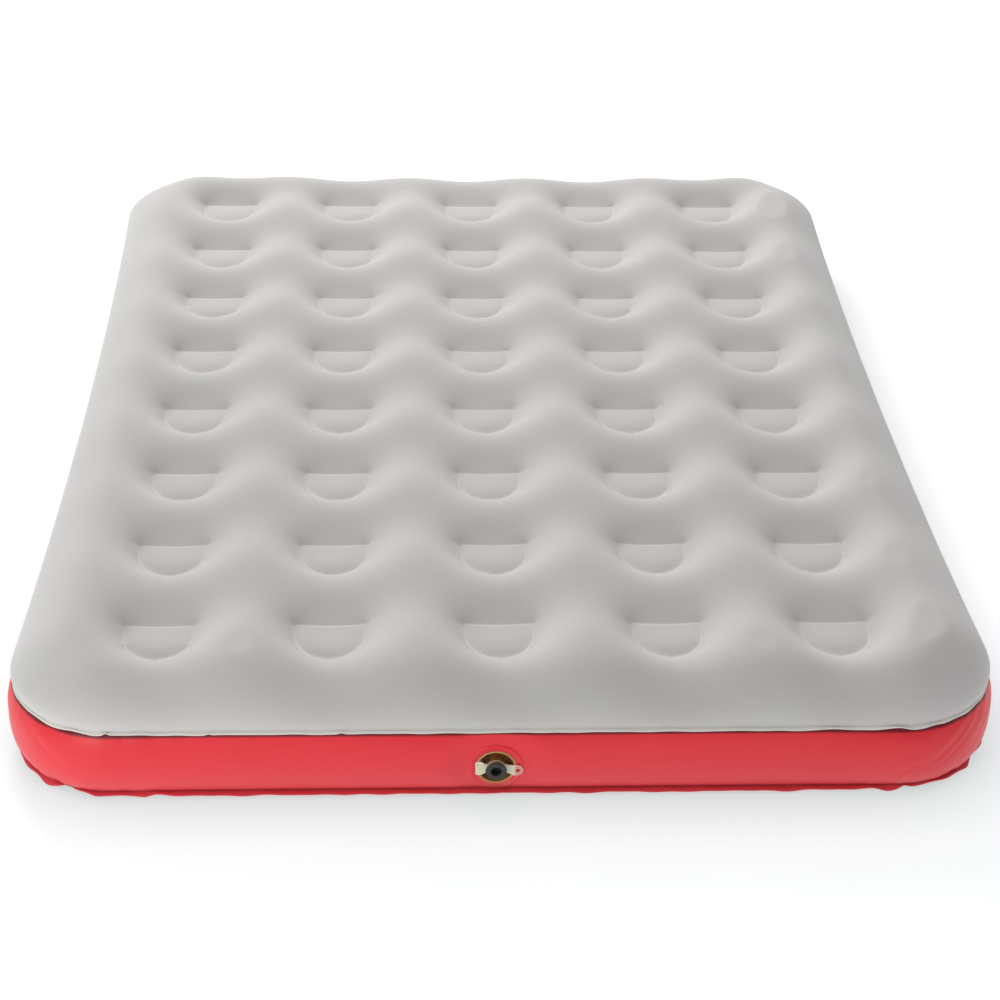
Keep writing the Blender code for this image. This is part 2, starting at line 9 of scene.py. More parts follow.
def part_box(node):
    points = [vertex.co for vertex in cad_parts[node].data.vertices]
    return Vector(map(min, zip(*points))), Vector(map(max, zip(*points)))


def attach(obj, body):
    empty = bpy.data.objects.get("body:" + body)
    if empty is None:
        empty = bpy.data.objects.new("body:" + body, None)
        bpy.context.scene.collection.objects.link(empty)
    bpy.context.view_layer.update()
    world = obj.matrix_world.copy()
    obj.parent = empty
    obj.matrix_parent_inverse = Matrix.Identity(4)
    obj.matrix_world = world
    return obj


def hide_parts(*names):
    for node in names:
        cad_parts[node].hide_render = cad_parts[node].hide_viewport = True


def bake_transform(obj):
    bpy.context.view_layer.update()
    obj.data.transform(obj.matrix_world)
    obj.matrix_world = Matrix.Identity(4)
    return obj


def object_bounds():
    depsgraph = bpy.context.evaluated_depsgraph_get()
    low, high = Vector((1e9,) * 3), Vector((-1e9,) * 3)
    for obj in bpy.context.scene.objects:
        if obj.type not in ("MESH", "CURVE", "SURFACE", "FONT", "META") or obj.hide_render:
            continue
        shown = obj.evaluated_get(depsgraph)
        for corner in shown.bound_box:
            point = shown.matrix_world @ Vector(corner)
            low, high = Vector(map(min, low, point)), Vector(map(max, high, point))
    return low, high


# Flocked air bed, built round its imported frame. Metres, +Z up, valve end towards -Y.
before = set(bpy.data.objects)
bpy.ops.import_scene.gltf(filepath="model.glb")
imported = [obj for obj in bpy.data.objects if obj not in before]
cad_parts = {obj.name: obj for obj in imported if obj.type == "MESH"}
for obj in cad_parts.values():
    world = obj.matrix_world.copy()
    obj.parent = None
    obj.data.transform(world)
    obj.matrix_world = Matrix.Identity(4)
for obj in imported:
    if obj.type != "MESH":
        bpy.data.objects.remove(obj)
cadLow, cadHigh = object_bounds()


# ---- places that come from the frame

def middle(node):
    low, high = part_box(node)
    return (low + high) / 2


def weldSpots():
    # arc centre of each weld, from the tube that stands under it
    spots = {}
    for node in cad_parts:
        if node.startswith("coil_beam_r"):
            low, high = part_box(node)
            row, column = (int(part[1:]) for part in node.split("_")[2:])
            spots[row, column] = ((low.x + high.x) / 2, high.y - weld["chordBehind"])
    return spots


weld = {
    "across": 0.0535,  # the front of each weld is half an ellipse
    "along": 0.0635,
    "sag": 0.0040,  # the straight side dips forward by this much at its middle
    "chordBehind": 0.0265,  # the straight side lies this far behind the arc's centre
    "height": 0.158,
}
weldPlaces = weldSpots()
columnPlaces = [weldPlaces[1, column][0] for column in range(1, 6)]
rowPlaces = [weldPlaces[row, 1][1] for row in range(1, 9)]
columnPitch = columnPlaces[1] - columnPlaces[0]
rowPitch = rowPlaces[1] - rowPlaces[0]

bed = {
    "halfWidth": cadHigh.x,
    "halfLength": cadHigh.y,
    "flange": 0.011,
    "sidePull": 0.0155,  # how far the long sides draw in at mid length
    "topRadius": 0.173,
    "bottomRadius": 0.167,
    "topSeam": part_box("side_wall")[1].z + 0.0007,
    "bottomSeam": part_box("side_wall")[0].z - 0.0005,
}
valveSpot = middle("valve_body")
wallFront = -(bed["halfLength"] - bed["flange"])


# ---- shader graph: a Signal is a socket that does maths

class Signal:
    def __init__(self, graph, socket):
        self.graph = graph
        self.socket = socket

    def maths(self, operation, *values):
        return self.graph.node("ShaderNodeMath", {"operation": operation}, dict(enumerate(values)))

    def __add__(self, other):
        return self.maths("ADD", self, other)

    def __radd__(self, other):
        return self.maths("ADD", other, self)

    def __sub__(self, other):
        return self.maths("SUBTRACT", self, other)

    def __rsub__(self, other):
        return self.maths("SUBTRACT", other, self)

    def __mul__(self, other):
        return self.maths("MULTIPLY", self, other)

    def __rmul__(self, other):
        return self.maths("MULTIPLY", other, self)

    def __truediv__(self, other):
        return self.maths("DIVIDE", self, other)

    def __pow__(self, other):
        return self.maths("POWER", self, other)

    def __abs__(self):
        return self.maths("ABSOLUTE", self)

    def __mod__(self, other):
        return self.maths("FLOORED_MODULO", self, other)

    def atLeast(self, other):
        return self.maths("MAXIMUM", self, other)

    def atMost(self, other):
        return self.maths("MINIMUM", self, other)

    def over(self, other):
        return self.maths("GREATER_THAN", self, other)


class Graph:
    # a node tree: node() makes any node, sets its settings first and then its sockets
    def __init__(self, tree):
        self.tree = tree

    def node(self, kind, settings=None, inputs=None, output=0):
        made = self.tree.nodes.new(kind)
        for key, value in (settings or {}).items():
            setattr(made, key, value)
        for key, value in (inputs or {}).items():
            if isinstance(value, Signal):
                self.tree.links.new(value.socket, made.inputs[key])
            else:
                made.inputs[key].default_value = value
        return Signal(self, made.outputs[output])

    def place(self):
        return self.node("ShaderNodeTexCoord", output="Object")

    def axis(self, number, vector):
        return self.node("ShaderNodeSeparateXYZ", {}, {0: vector}, output=number)

    def ranged(self, signal, end, first, last):
        # first where the signal is 0, last where it reaches end
        inputs = {"Value": signal, "From Min": 0.0, "From Max": end, "To Min": first, "To Max": last}
        return self.node("ShaderNodeMapRange", {}, inputs)

    def noise(self, scale, detail=2.0, roughness=0.5, vector=None):
        inputs = {"Vector": vector or self.place(), "Scale": scale, "Detail": detail, "Roughness": roughness}
        return self.node("ShaderNodeTexNoise", {}, inputs)

    def blend(self, share, first, second):
        # colours as (r, g, b) or signals
        def asInput(value):
            return value if isinstance(value, Signal) else (*value, 1.0)

        inputs = {0: share, 6: asInput(first), 7: asInput(second)}
        return self.node("ShaderNodeMix", {"data_type": "RGBA"}, inputs, output=2)


class Finish(Graph):
    # one material; the names after the colour are sockets that stay the same all over
    def __init__(self, name, colour, **plain):
        self.material = bpy.data.materials.new(name)
        self.material.use_nodes = True
        super().__init__(self.material.node_tree)
        self.shader = self.tree.nodes["Principled BSDF"]
        self.shader.inputs["Base Color"].default_value = (*colour, 1.0)
        for socket, value in plain.items():
            self.shader.inputs[socket.replace("_", " ")].default_value = value

    def feed(self, socket, signal):
        self.tree.links.new(signal.socket, self.shader.inputs[socket])

    def bump(self, height, strength, distance):
        inputs = {"Height": height, "Strength": strength, "Distance": distance}
        self.feed("Normal", self.node("ShaderNodeBump", {}, inputs))


# ---- finishes

flock = {
    "light": (0.700, 0.672, 0.660),
    "dark": (0.610, 0.584, 0.574),
    "cool": (0.650, 0.652, 0.610),
    "warm": (0.668, 0.632, 0.645),
    "pressed": (0.95, 0.93, 0.91),  # along the welds, where the pile is crushed
    "lineWidth": 0.0030,
}


def makeFlock():
    finish = Finish(
        "greyFlock", flock["light"], Roughness=0.93, Sheen_Weight=0.22, Sheen_Roughness=0.6, Specular_IOR_Level=0.2
    )
    place = finish.place()
    x, y = finish.axis(0, place), finish.axis(1, place)
    brushed = finish.noise(3.2, 3.0, 0.55, place)
    cloudy = finish.noise(9.0, 4.0, 0.6, place)
    pile = finish.noise(900.0, 2.0, 0.6, place)
    clump = finish.noise(210.0, 3.0, 0.6, place)

    # distance to the weld line of the nearest cell
    across = (x - columnPlaces[0] + columnPitch / 2) % columnPitch - columnPitch / 2
    along = (y - rowPlaces[0] + rowPitch / 2) % rowPitch - rowPitch / 2
    front = along.atMost(0.0) * (weld["across"] / weld["along"])
    reach = (across * across + front * front) ** 0.5
    toArc = abs(reach - weld["across"]) + (along - weld["chordBehind"]).atLeast(0.0) * 3.0
    dip = (1.0 - across * across / weld["across"] ** 2).atLeast(0.0) * weld["sag"]
    toChord = abs(along - weld["chordBehind"] + dip) + (abs(across) - weld["across"]).atLeast(0.0) * 3.0
    arcLine = (1.0 - toArc / flock["lineWidth"]).atLeast(0.0) * (0.2 - front / weld["across"]).atMost(0.9)
    line = (1.0 - toChord / flock["lineWidth"]).atLeast(arcLine)
    inField = (abs(x - columnPlaces[2]).over(columnPitch * 2.5) * -1.0 + 1.0)
    inRows = (abs(y - (rowPlaces[0] + rowPlaces[-1]) / 2).over(rowPitch * 4) * -1.0 + 1.0)
    line = line * inField * inRows * (0.45 + cloudy * 0.7)

    shade = (brushed * 0.6 + cloudy * 0.4 + clump * 0.6 - 0.32).atLeast(0.0).atMost(1.0)
    colour = finish.blend(shade, flock["light"], flock["dark"])
    tint = (finish.noise(5.0, 2.0, 0.5, place) * 3.0 - 1.2).atLeast(0.0).atMost(0.7)
    colour = finish.blend(tint, colour, flock["cool"])
    rosy = (finish.noise(7.0, 2.0, 0.5, place) * 3.0 - 1.5).atLeast(0.0).atMost(0.6)
    colour = finish.blend(rosy, colour, flock["warm"])
    colour = finish.blend(line, colour, flock["pressed"])
    speck = (pile * 0.5 + 0.25) * 0.5
    colour = finish.blend(speck, colour, flock["dark"])
    finish.feed("Base Color", colour)
    finish.feed("Roughness", 0.96 - line * 0.25)
    finish.bump(pile * 0.6 + clump * 0.5 - line * 0.6, 0.35, 0.0006)
    return finish.material


def makeLip():
    # the sheet's welded edge: pile crushed flat, cream where the film shows through
    finish = Finish("weldedFlock", (0.90, 0.87, 0.80), Roughness=0.6, Specular_IOR_Level=0.35)
    place = finish.place()
    wear = (finish.noise(14.0, 4.0, 0.65, place) * 1.9 - 0.5).atLeast(0.0).atMost(1.0)
    grain = finish.noise(420.0, 2.0, 0.5, place)
    colour = finish.blend(wear, (0.88, 0.86, 0.81), (0.98, 0.95, 0.88))
    colour = finish.blend(grain * 0.2, colour, (0.80, 0.77, 0.72))
    finish.feed("Base Color", colour)
    finish.feed("Roughness", 0.82 - wear * 0.25)
    finish.bump(grain, 0.3, 0.0004)
    return finish.material


def makeRed(name, colour, deep, pale, seamShade=0.0):
    finish = Finish(name, colour, Roughness=0.4, Specular_IOR_Level=0.4)
    place = finish.place()
    height = finish.axis(2, place)
    cloud = finish.noise(5.0, 3.0, 0.5, place)
    grain = finish.noise(750.0, 2.0, 0.55, place)
    scuff = (finish.noise(38.0, 5.0, 0.7, place) * 3.0 - 1.75).atLeast(0.0).atMost(1.0)
    body = finish.blend(cloud, deep, colour)
    body = finish.blend(scuff * 0.16, body, pale)
    if seamShade:
        # painted light on the band: paler low down as a painted reflection of the floor's light, and darker in a
        # band just under the top lip and another just above the bottom seam as painted shade
        low = ((bed["topSeam"] - height) / (bed["topSeam"] - bed["bottomSeam"])).atLeast(0.0).atMost(1.0)
        body = finish.blend(low * low * 0.5, body, pale)
        # painted shade: a dark band under the top lip's overhang and one along the bottom crease
        under = ((height - bed["topSeam"] + 0.0094) / 0.003).atLeast(0.0).atMost(1.0)
        over = ((bed["bottomSeam"] + 0.008 - height) / 0.006).atLeast(0.0).atMost(1.0)
        body = finish.blend((under * 0.92).atLeast(over * 0.7) * seamShade, body, (0.12, 0.004, 0.008))
    finish.feed("Base Color", body)
    finish.feed("Roughness", 0.36 + cloud * 0.08 + scuff * 0.1 + grain * 0.05)
    finish.bump(grain * 0.5 + scuff * 0.3, 0.18, 0.0005)
    return finish.material


def makeFilm(name, colour, other, roughness, **plain):
    finish = Finish(name, colour, Roughness=roughness, **plain)
    place = finish.place()
    cloud = finish.noise(60.0, 3.0, 0.55, place)
    grain = finish.noise(900.0, 2.0, 0.5, place)
    finish.feed("Base Color", finish.blend(cloud, colour, other))
    finish.feed("Roughness", roughness - 0.05 + grain * 0.1 + cloud * 0.06)
    finish.bump(grain, 0.12, 0.0003)
    return finish.material


flockFinish = makeFlock()
lipFinish = makeLip()
# the band's red, with its painted shade near both seams and its painted floor reflection low down
bandFinish = makeRed("redBand", (0.86, 0.026, 0.040), (0.80, 0.018, 0.032), (0.88, 0.15, 0.165), 1.0)
# the bottom lip is the band's red film made paler: painted light that lifts the lip out of the shade of the bulging
# wall above it
litLipFinish = makeRed("redWeldLipPaintedLight", (0.86, 0.070, 0.085), (0.74, 0.040, 0.055), (0.92, 0.20, 0.21))
coilFinish = makeFilm("coilFilm", (0.60, 0.60, 0.58), (0.54, 0.54, 0.53), 0.45)
clearFinish = makeFilm(
    "clearVinyl", (0.86, 0.80, 0.64), (0.80, 0.70, 0.50), 0.34, Subsurface_Weight=0.35, Subsurface_Scale=0.004
)
tabFinish = makeFilm(
    "clearOverRed", (0.86, 0.40, 0.36), (0.84, 0.30, 0.28), 0.3, Subsurface_Weight=0.3, Subsurface_Scale=0.004
)
rimFinish = makeFilm(
    "amberRim", (0.66, 0.44, 0.18), (0.52, 0.30, 0.10), 0.28, Subsurface_Weight=0.3, Subsurface_Scale=0.003
)
amberFinish = makeFilm(
    "amberVinyl", (0.50, 0.26, 0.08), (0.36, 0.16, 0.04), 0.26, Subsurface_Weight=0.25, Subsurface_Scale=0.004
)
rubberFinish = makeFilm("blackRubber", (0.030, 0.029, 0.031), (0.018, 0.018, 0.020), 0.46)
print("finishes: ready")


# ---- mesh helpers

def smooth(value, low, high):
    share = np.clip((value - low) / (high - low), 0.0, 1.0)
    return share * share * (3.0 - 2.0 * share)


def bellCurve(distance, width):
    return np.exp(-((distance / width) ** 2))


def makePiece(name, points, faces, material, sharpDegrees=30):
    mesh = bpy.data.meshes.new(name)
    mesh.from_pydata([tuple(map(float, point)) for point in points], [], faces)
    mesh.validate()
    mesh.materials.append(material)
    mesh.shade_smooth()
    mesh.set_sharp_from_angle(angle=math.radians(sharpDegrees))
    piece = bpy.data.objects.new(name, mesh)
    bpy.context.scene.collection.objects.link(piece)
    return piece


def faceOut(piece):
    tool = bmesh.new()
    tool.from_mesh(piece.data)
    bmesh.ops.recalc_face_normals(tool, faces=tool.faces[:])
    tool.to_mesh(piece.data)
    tool.free()
    return piece


def sweep(name, sections, material, closedSection=True, sharpDegrees=40):
    # sections[k][i] is point k of the section at place i of a closed path
    count = len(sections[0])
    rows = len(sections)
    points = np.concatenate(sections)
    faces = []
    for k in range(rows if closedSection else rows - 1):
        after = (k + 1) % rows
        for i in range(count):
            j = (i + 1) % count
            faces.append((k * count + i, k * count + j, after * count + j, after * count + i))
    piece = makePiece(name, points, faces, material, sharpDegrees)
    return faceOut(piece) if closedSection else piece


# ---- the bed's outline, shared by the seams, lips and band

class Outline:
    # rounded rectangle whose points keep their place from ring to ring
    def __init__(self, frontLines):
        self.frontLines = frontLines  # places along the foot end's straight, from -1 to 1
        self.cornerSteps = 44
        self.longSteps = 230
        self.backSteps = 170

    def ring(self, inset, radius):
        halfX = bed["halfWidth"] - inset
        halfY = bed["halfLength"] - inset
        corner = radius - inset
        straightX = halfX - corner
        straightY = halfY - corner
        turn = np.linspace(0.0, np.pi / 2, self.cornerSteps + 1)
        long = np.linspace(-1.0, 1.0, self.longSteps + 1)[1:-1] * straightY
        back = np.linspace(1.0, -1.0, self.backSteps + 1)[1:-1] * straightX
        parts = [
            (self.frontLines * straightX, np.full(len(self.frontLines), -halfY)),
            (straightX + corner * np.sin(turn), -straightY - corner * np.cos(turn)),
            (np.full(len(long), halfX), long),
            (straightX + corner * np.cos(turn), straightY + corner * np.sin(turn)),
            (back, np.full(len(back), halfY)),
            (-straightX - corner * np.sin(turn), straightY + corner * np.cos(turn)),
            (np.full(len(long), -halfX), long[::-1]),
            (-straightX - corner * np.cos(turn), -straightY - corner * np.sin(turn)),
        ]
        x = np.concatenate([part[0] for part in parts])
        y = np.concatenate([part[1] for part in parts])
        pull = np.clip(1.0 - (y / straightY) ** 2, 0.0, None) * bed["sidePull"]
        return np.stack([x * (1.0 - pull / bed["halfWidth"]), y], axis=1)


def outward(ring):
    step = np.roll(ring, -1, axis=0) - np.roll(ring, 1, axis=0)
    normal = np.stack([step[:, 1], -step[:, 0]], axis=1)
    return normal / np.linalg.norm(normal, axis=1)[:, None]


def travel(ring):
    steps = np.linalg.norm(np.roll(ring, -1, axis=0) - ring, axis=1)
    return np.concatenate([[0.0], np.cumsum(steps)[:-1]]), steps.sum()


def fromSpot(ring, spot):
    # signed distance round the ring from the ring point nearest to spot
    along, total = travel(ring)
    nearest = np.argmin(np.linalg.norm(ring - np.array(spot), axis=1))
    away = along - along[nearest]
    return (away + total / 2) % total - total / 2


def wander(along, total, waves, seed):
    # a smooth closed wave made of a few sines, about -1 to 1
    draw = np.random.default_rng(seed)
    value = np.zeros(len(along))
    for count in waves:
        value += np.sin(2 * np.pi * (along / total * count + draw.random())) * draw.uniform(0.5, 1.0)
    return value / math.sqrt(len(waves))


def atCorners(ring):
    # 1 round the four corners, 0 on the straights
    x = np.abs(ring[:, 0])
    y = np.abs(ring[:, 1])
    away = np.hypot(x - bed["halfWidth"] + 0.06, y - bed["halfLength"] + 0.06)
    return 1.0 - smooth(away, 0.09, 0.26)


valveZone = {
    "reach": 0.0415,  # half of the square patch that the hole is worked into
    "steps": 12,
    "hole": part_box("valve_collar")[1].x - valveSpot.x - 0.0105,
}


def frontLines():
    # finer and even across the valve, and a line at each end
    straight = bed["halfWidth"] - bed["topRadius"]
    reach = valveZone["reach"]
    fine = np.linspace(-reach, reach, 2 * valveZone["steps"] + 1) + valveSpot.x
    left = np.linspace(-straight, fine[0], 74)[1:-1]
    right = np.linspace(fine[-1], straight, 78)[1:-1]
    return np.concatenate([left, fine, right]) / straight, len(left)


frontPlaces, valveStart = frontLines()
outline = Outline(frontPlaces)
topRing = outline.ring(bed["flange"], bed["topRadius"])
bottomRing = outline.ring(bed["flange"], bed["bottomRadius"])
topEdge = outline.ring(0.0, bed["topRadius"])
bottomEdge = outline.ring(0.0, bed["bottomRadius"])
topOut = outward(topRing)
bottomOut = outward(bottomRing)


# ---- sleeping surface

surface = {
    "coarse": 0.0062,
    "fine": 0.0034,
    "crest": 0.1955,
    "marginCrest": 0.187,
    "marginReach": 0.075,
    "marginWave": 0.38,
    "softness": 1.12,  # above 1, slopes start gently at the welds and the crests are rounder
    "padRise": 2.0,  # share of the film's own rise that a weld's inside keeps
    "wave": 1.15,  # how much more the film lifts along the wavy ridges than between them
    "waveReach": 0.088,  # the ridges lie this far in front of the welds' centres
    "waveBack": 0.055,  # and bend back by this much between the columns
    "cornerStart": 0.105,
    "steepen": 0.62,
    "steepenReach": 0.062,
    "overhang": 0.0105,  # how far the long sides swell out above the seam
    "frontOverhang": 0.0040,
    "overhangPlace": 0.014,
    "unevenness": 0.09,
    "sweeps": 900,
    "pinchDepth": 0.0010,
    "pinchWidth": 0.0042,
    "seed": 11,
}


def gridLines(half, fineNear, exact):
    # close together near the ends and near fineNear, and through each exact place
    dense = np.linspace(-half, half, 8001)
    gap = np.full(len(dense), surface["coarse"])
    edge = half - np.abs(dense)
    gap = surface["fine"] + (gap - surface["fine"]) * smooth(edge, 0.012, 0.06)
    for place in fineNear:
        gap = np.minimum(gap, 0.0026 + (gap - 0.0026) * smooth(np.abs(dense - place), 0.004, 0.012))
    total = np.concatenate([[0.0], np.cumsum((dense[1] - dense[0]) / gap[1:])])
    lines = np.interp(np.linspace(0.0, total[-1], int(round(total[-1])) + 1), total, dense)
    for place in exact:
        lines[np.argmin(np.abs(lines - place))] = place
    return lines


def neighbourShares(lines):
    before = np.diff(lines)[:-1]
    after = np.diff(lines)[1:]
    return 2.0 / (before * (before + after)), 2.0 / (after * (before + after))


def relax(start, fixed, load, xLines, yLines, sweeps):
    # height of a film under load, held where fixed: red and black over-relaxation
    west, east = neighbourShares(xLines)
    south, north = neighbourShares(yLines)
    west, east = west[:, None], east[:, None]
    south, north = south[None, :], north[None, :]
    total = west + east + south + north
    height = start.copy()
    parity = np.add.outer(np.arange(1, len(xLines) - 1), np.arange(1, len(yLines) - 1)) % 2
    free = ~fixed[1:-1, 1:-1]
    masks = [free & (parity == colour) for colour in (0, 1)]
    speed = 1.965
    for _ in range(sweeps):
        for mask in masks:
            pull = (
                west * height[:-2, 1:-1]
                + east * height[2:, 1:-1]
                + south * height[1:-1, :-2]
                + north * height[1:-1, 2:]
                + load[1:-1, 1:-1]
            )
            core = height[1:-1, 1:-1]
            core[mask] += speed * ((pull / total)[mask] - core[mask])
    return height


def softField(shape, cells, seed):
    # smooth random field from -1 to 1
    draw = np.random.default_rng(seed)
    knots = draw.uniform(-1.0, 1.0, (cells[0] + 1, cells[1] + 1))
    a = np.linspace(0.0, cells[0] - 1e-6, shape[0])
    b = np.linspace(0.0, cells[1] - 1e-6, shape[1])
    i, j = a.astype(int), b.astype(int)
    u, v = a - i, b - j
    u, v = u * u * (3 - 2 * u), v * v * (3 - 2 * v)
    low = knots[i][:, j] * (1 - u)[:, None] + knots[i + 1][:, j] * u[:, None]
    high = knots[i][:, j + 1] * (1 - u)[:, None] + knots[i + 1][:, j + 1] * u[:, None]
    return low * (1 - v)[None, :] + high * v[None, :]


def sample(values, xLines, yLines, x, y):
    # values on the grid, read between its lines
    i = np.clip(np.searchsorted(xLines, x) - 1, 0, len(xLines) - 2)
    j = np.clip(np.searchsorted(yLines, y) - 1, 0, len(yLines) - 2)
    u = np.clip((x - xLines[i]) / (xLines[i + 1] - xLines[i]), 0.0, 1.0)
    v = np.clip((y - yLines[j]) / (yLines[j + 1] - yLines[j]), 0.0, 1.0)
    low = values[i, j] * (1 - u) + values[i + 1, j] * u
    high = values[i, j + 1] * (1 - u) + values[i + 1, j + 1] * u
    return low * (1 - v) + high * v


def roundCorners(x, y, height, xLines, yLines, radius):
    # square corners of the grid go onto quarter discs, whose last part keeps the straight sides' profile
    cornerX, cornerY = xLines[-1] - radius, yLines[-1] - radius
    signX, signY = np.sign(x), np.sign(y)
    a, b = np.abs(x) - cornerX, np.abs(y) - cornerY
    inside = (a > 0) & (b > 0)
    far = np.maximum(a, b)
    near = np.minimum(a, b)
    angle = np.pi / 4 * np.divide(near, far, out=np.zeros_like(far), where=far > 0)
    angle = np.where(a >= b, angle, np.pi / 2 - angle)
    reach = np.minimum(far, surface["cornerStart"])
    inner = sample(
        height, xLines, yLines,
        signX * (cornerX + reach * np.cos(angle)), signY * (cornerY + reach * np.sin(angle)),
    ) - bed["topSeam"]
    sideways = sample(height, xLines, yLines, signX * (cornerX + far), signY * cornerY) - bed["topSeam"]
    lengthways = sample(height, xLines, yLines, signX * cornerX, signY * (cornerY + far)) - bed["topSeam"]
    sidewaysInner = sample(height, xLines, yLines, signX * (cornerX + reach), signY * cornerY) - bed["topSeam"]
    lengthwaysInner = sample(height, xLines, yLines, signX * cornerX, signY * (cornerY + reach)) - bed["topSeam"]
    share = smooth(angle, 0.0, np.pi / 2)
    profile = (1 - share) * sideways / sidewaysInner + share * lengthways / lengthwaysInner
    cornerHeight = bed["topSeam"] + inner * profile
    roundX = signX * (cornerX + far * np.cos(angle))
    roundY = signY * (cornerY + far * np.sin(angle))
    return (
        np.where(inside, roundX, x),
        np.where(inside, roundY, y),
        np.where(inside, cornerHeight, height),
    )


def onWeldLines(x, y, tolerance):
    # moves grid points that lie close to a weld's outline onto it, and says which they are
    x, y = x.copy(), y.copy()
    held = np.zeros(x.shape, bool)
    half = weld["across"]
    for centreX, centreY in weldPlaces.values():
        dx, dy = x - centreX, y - centreY
        reach = np.hypot(dx, dy * half / weld["along"])
        arc = (np.abs(reach - half) < tolerance) & (dy < 0.0)
        scale = np.where(arc, half / np.maximum(reach, 1e-6), 1.0)
        x = np.where(arc, centreX + dx * scale, x)
        y = np.where(arc, centreY + dy * scale, y)
        side = (np.abs(np.abs(dx) - half) < 1e-5) & (dy >= 0) & (dy < weld["chordBehind"] + 1e-5)
        chord = (np.abs(dy - weld["chordBehind"]) < 1e-5) & (np.abs(dx) < half + 1e-5)
        held |= arc | side | chord
    return x, y, held


def ridges(x, y):
    # 1 on the wavy ridges between the rows, -1 in the troughs
    across = np.cos(2 * np.pi * (x - columnPlaces[0]) / columnPitch)
    crestAt = rowPlaces[0] - surface["waveReach"] + surface["waveBack"] * (1.0 - across) / 2
    return np.cos(2 * np.pi * (y - crestAt) / rowPitch)


def buildSurface():
    halfX = bed["halfWidth"] - bed["flange"]
    halfY = bed["halfLength"] - bed["flange"]
    chords = [place + weld["chordBehind"] for place in rowPlaces]
    sides = [place + side * weld["across"] for place in columnPlaces for side in (-1, 1)]
    xLines = gridLines(halfX, columnPlaces, columnPlaces + sides)
    yLines = gridLines(halfY, chords, chords)
    x, y = np.meshgrid(xLines, yLines, indexing="ij")
    x, y, held = onWeldLines(x, y, 0.0032)
    edge = np.zeros(x.shape, bool)
    edge[0, :] = edge[-1, :] = edge[:, 0] = edge[:, -1] = True
    inset = np.minimum(halfX - np.abs(x), halfY - np.abs(y))

    radius = bed["topRadius"] - bed["flange"]
    a, b = np.abs(x) - (halfX - radius), np.abs(y) - (halfY - radius)
    outside = (a > 0) & (b > 0) & (np.hypot(a, b) >= radius)
    base = np.where(edge | outside, bed["topSeam"], weld["height"])
    none = np.zeros(x.shape)
    fixed = held | edge | outside
    rest = relax(base, fixed, none, xLines, yLines, surface["sweeps"])
    uneven = 1.0 + surface["unevenness"] * softField(x.shape, (9, 12), surface["seed"])
    uneven += surface["wave"] * ridges(x, y) * smooth(inset, 0.02, 0.16)
    blown = relax(none, fixed, uneven, xLines, yLines, surface["sweeps"])
    atColumns = np.cos(2 * np.pi * (x - columnPlaces[0]) / columnPitch) * (halfX - np.abs(x) > halfY - np.abs(y))
    atCorner = bellCurve(np.hypot(np.abs(x) - halfX + 0.1, np.abs(y) - halfY + 0.1), 0.13)
    swelling = bellCurve(inset, surface["marginReach"]) * (1.0 - surface["marginWave"] * atColumns + 0.9 * atCorner)
    margin = relax(none, fixed, swelling, xLines, yLines, surface["sweeps"])
    core = inset > 0.2
    most = np.percentile(blown[core], 99.7)
    rise = surface["crest"] - weld["height"]

    def fill(film):
        return rise * np.clip(film / most, 0.0, None) ** surface["softness"]

    rim = (inset > 0.05) & (inset < 0.1) & (np.abs(x) < 0.5) & (y < 0)
    swell = 0.0
    while np.percentile((rest + fill(blown + margin * swell))[rim], 70) < surface["marginCrest"] and swell < 12:
        swell += 0.25
    pads = np.zeros(x.shape, bool)
    for centreX, centreY in weldPlaces.values():
        front = np.minimum(y - centreY, 0.0) * weld["across"] / weld["along"]
        near = np.hypot(x - centreX, front) < weld["across"] - 0.0001
        pads |= near & (y < centreY + weld["chordBehind"] - 0.0001)
    film = fill(blown + margin * swell)
    height = rest + np.where(pads, np.clip(blown, 0, None) / most * rise * surface["padRise"], film)
    print("surface: swell %.2f, pads %.4f, top %.4f" % (swell, (height - rest)[pads].max(), height.max()))

    # soft pinch that runs forward from the middle of each arc
    draw = np.random.default_rng(surface["seed"] + 1)
    for centreX, centreY in weldPlaces.values():
        forward = centreY - weld["along"] - y
        slant = draw.uniform(-0.12, 0.12)
        depth = surface["pinchDepth"] * draw.uniform(0.35, 1.0)
        length = draw.uniform(0.045, 0.075)
        fade = smooth(forward, 0.0, 0.012) * (1.0 - smooth(forward, length * 0.5, length))
        height -= depth * bellCurve(x - centreX - slant * forward, surface["pinchWidth"]) * fade

    for centreX, centreY in weldPlaces.values():
        dip = np.clip(1.0 - ((x - centreX) / weld["across"]) ** 2, 0.0, None) * weld["sag"]
        y = y - dip * bellCurve(y - centreY - weld["chordBehind"], 0.022)
    x, y, height = roundCorners(x, y, height, xLines, yLines, radius)
    near = np.clip(1.0 - inset / surface["steepenReach"], 0.0, 1.0)
    push = surface["steepen"] * inset * near * near
    slopeX, slopeY = edgeDirection(x, y, halfX, halfY)
    swellOut = surface["frontOverhang"] + (surface["overhang"] - surface["frontOverhang"]) * slopeX ** 2
    place = inset / surface["overhangPlace"]
    push += swellOut * place * np.exp(1.0 - place)
    x, y = x + slopeX * push, y + slopeY * push
    straightY = halfY - (bed["topRadius"] - bed["flange"])
    pull = np.clip(1.0 - (y / straightY) ** 2, 0.0, None) * bed["sidePull"]
    x = x * (1.0 - pull / bed["halfWidth"] * (1.0 - smooth(inset, 0.0, 0.18)))
    height = np.minimum(height, cadHigh.z + 0.002)
    return x, y, height, held


def edgeDirection(x, y, halfX, halfY):
    # unit direction straight out of the bed at each point
    radius = bed["topRadius"] - bed["flange"]
    a, b = np.abs(x) - (halfX - radius), np.abs(y) - (halfY - radius)
    corner = (a > 0) & (b > 0)
    reach = np.maximum(np.hypot(a, b), 1e-6)
    sideways = (a - b) > 0
    outX = np.where(corner, a / reach, np.where(sideways, 1.0, 0.0)) * np.sign(x)
    outY = np.where(corner, b / reach, np.where(sideways, 0.0, 1.0)) * np.sign(y)
    return outX, outY


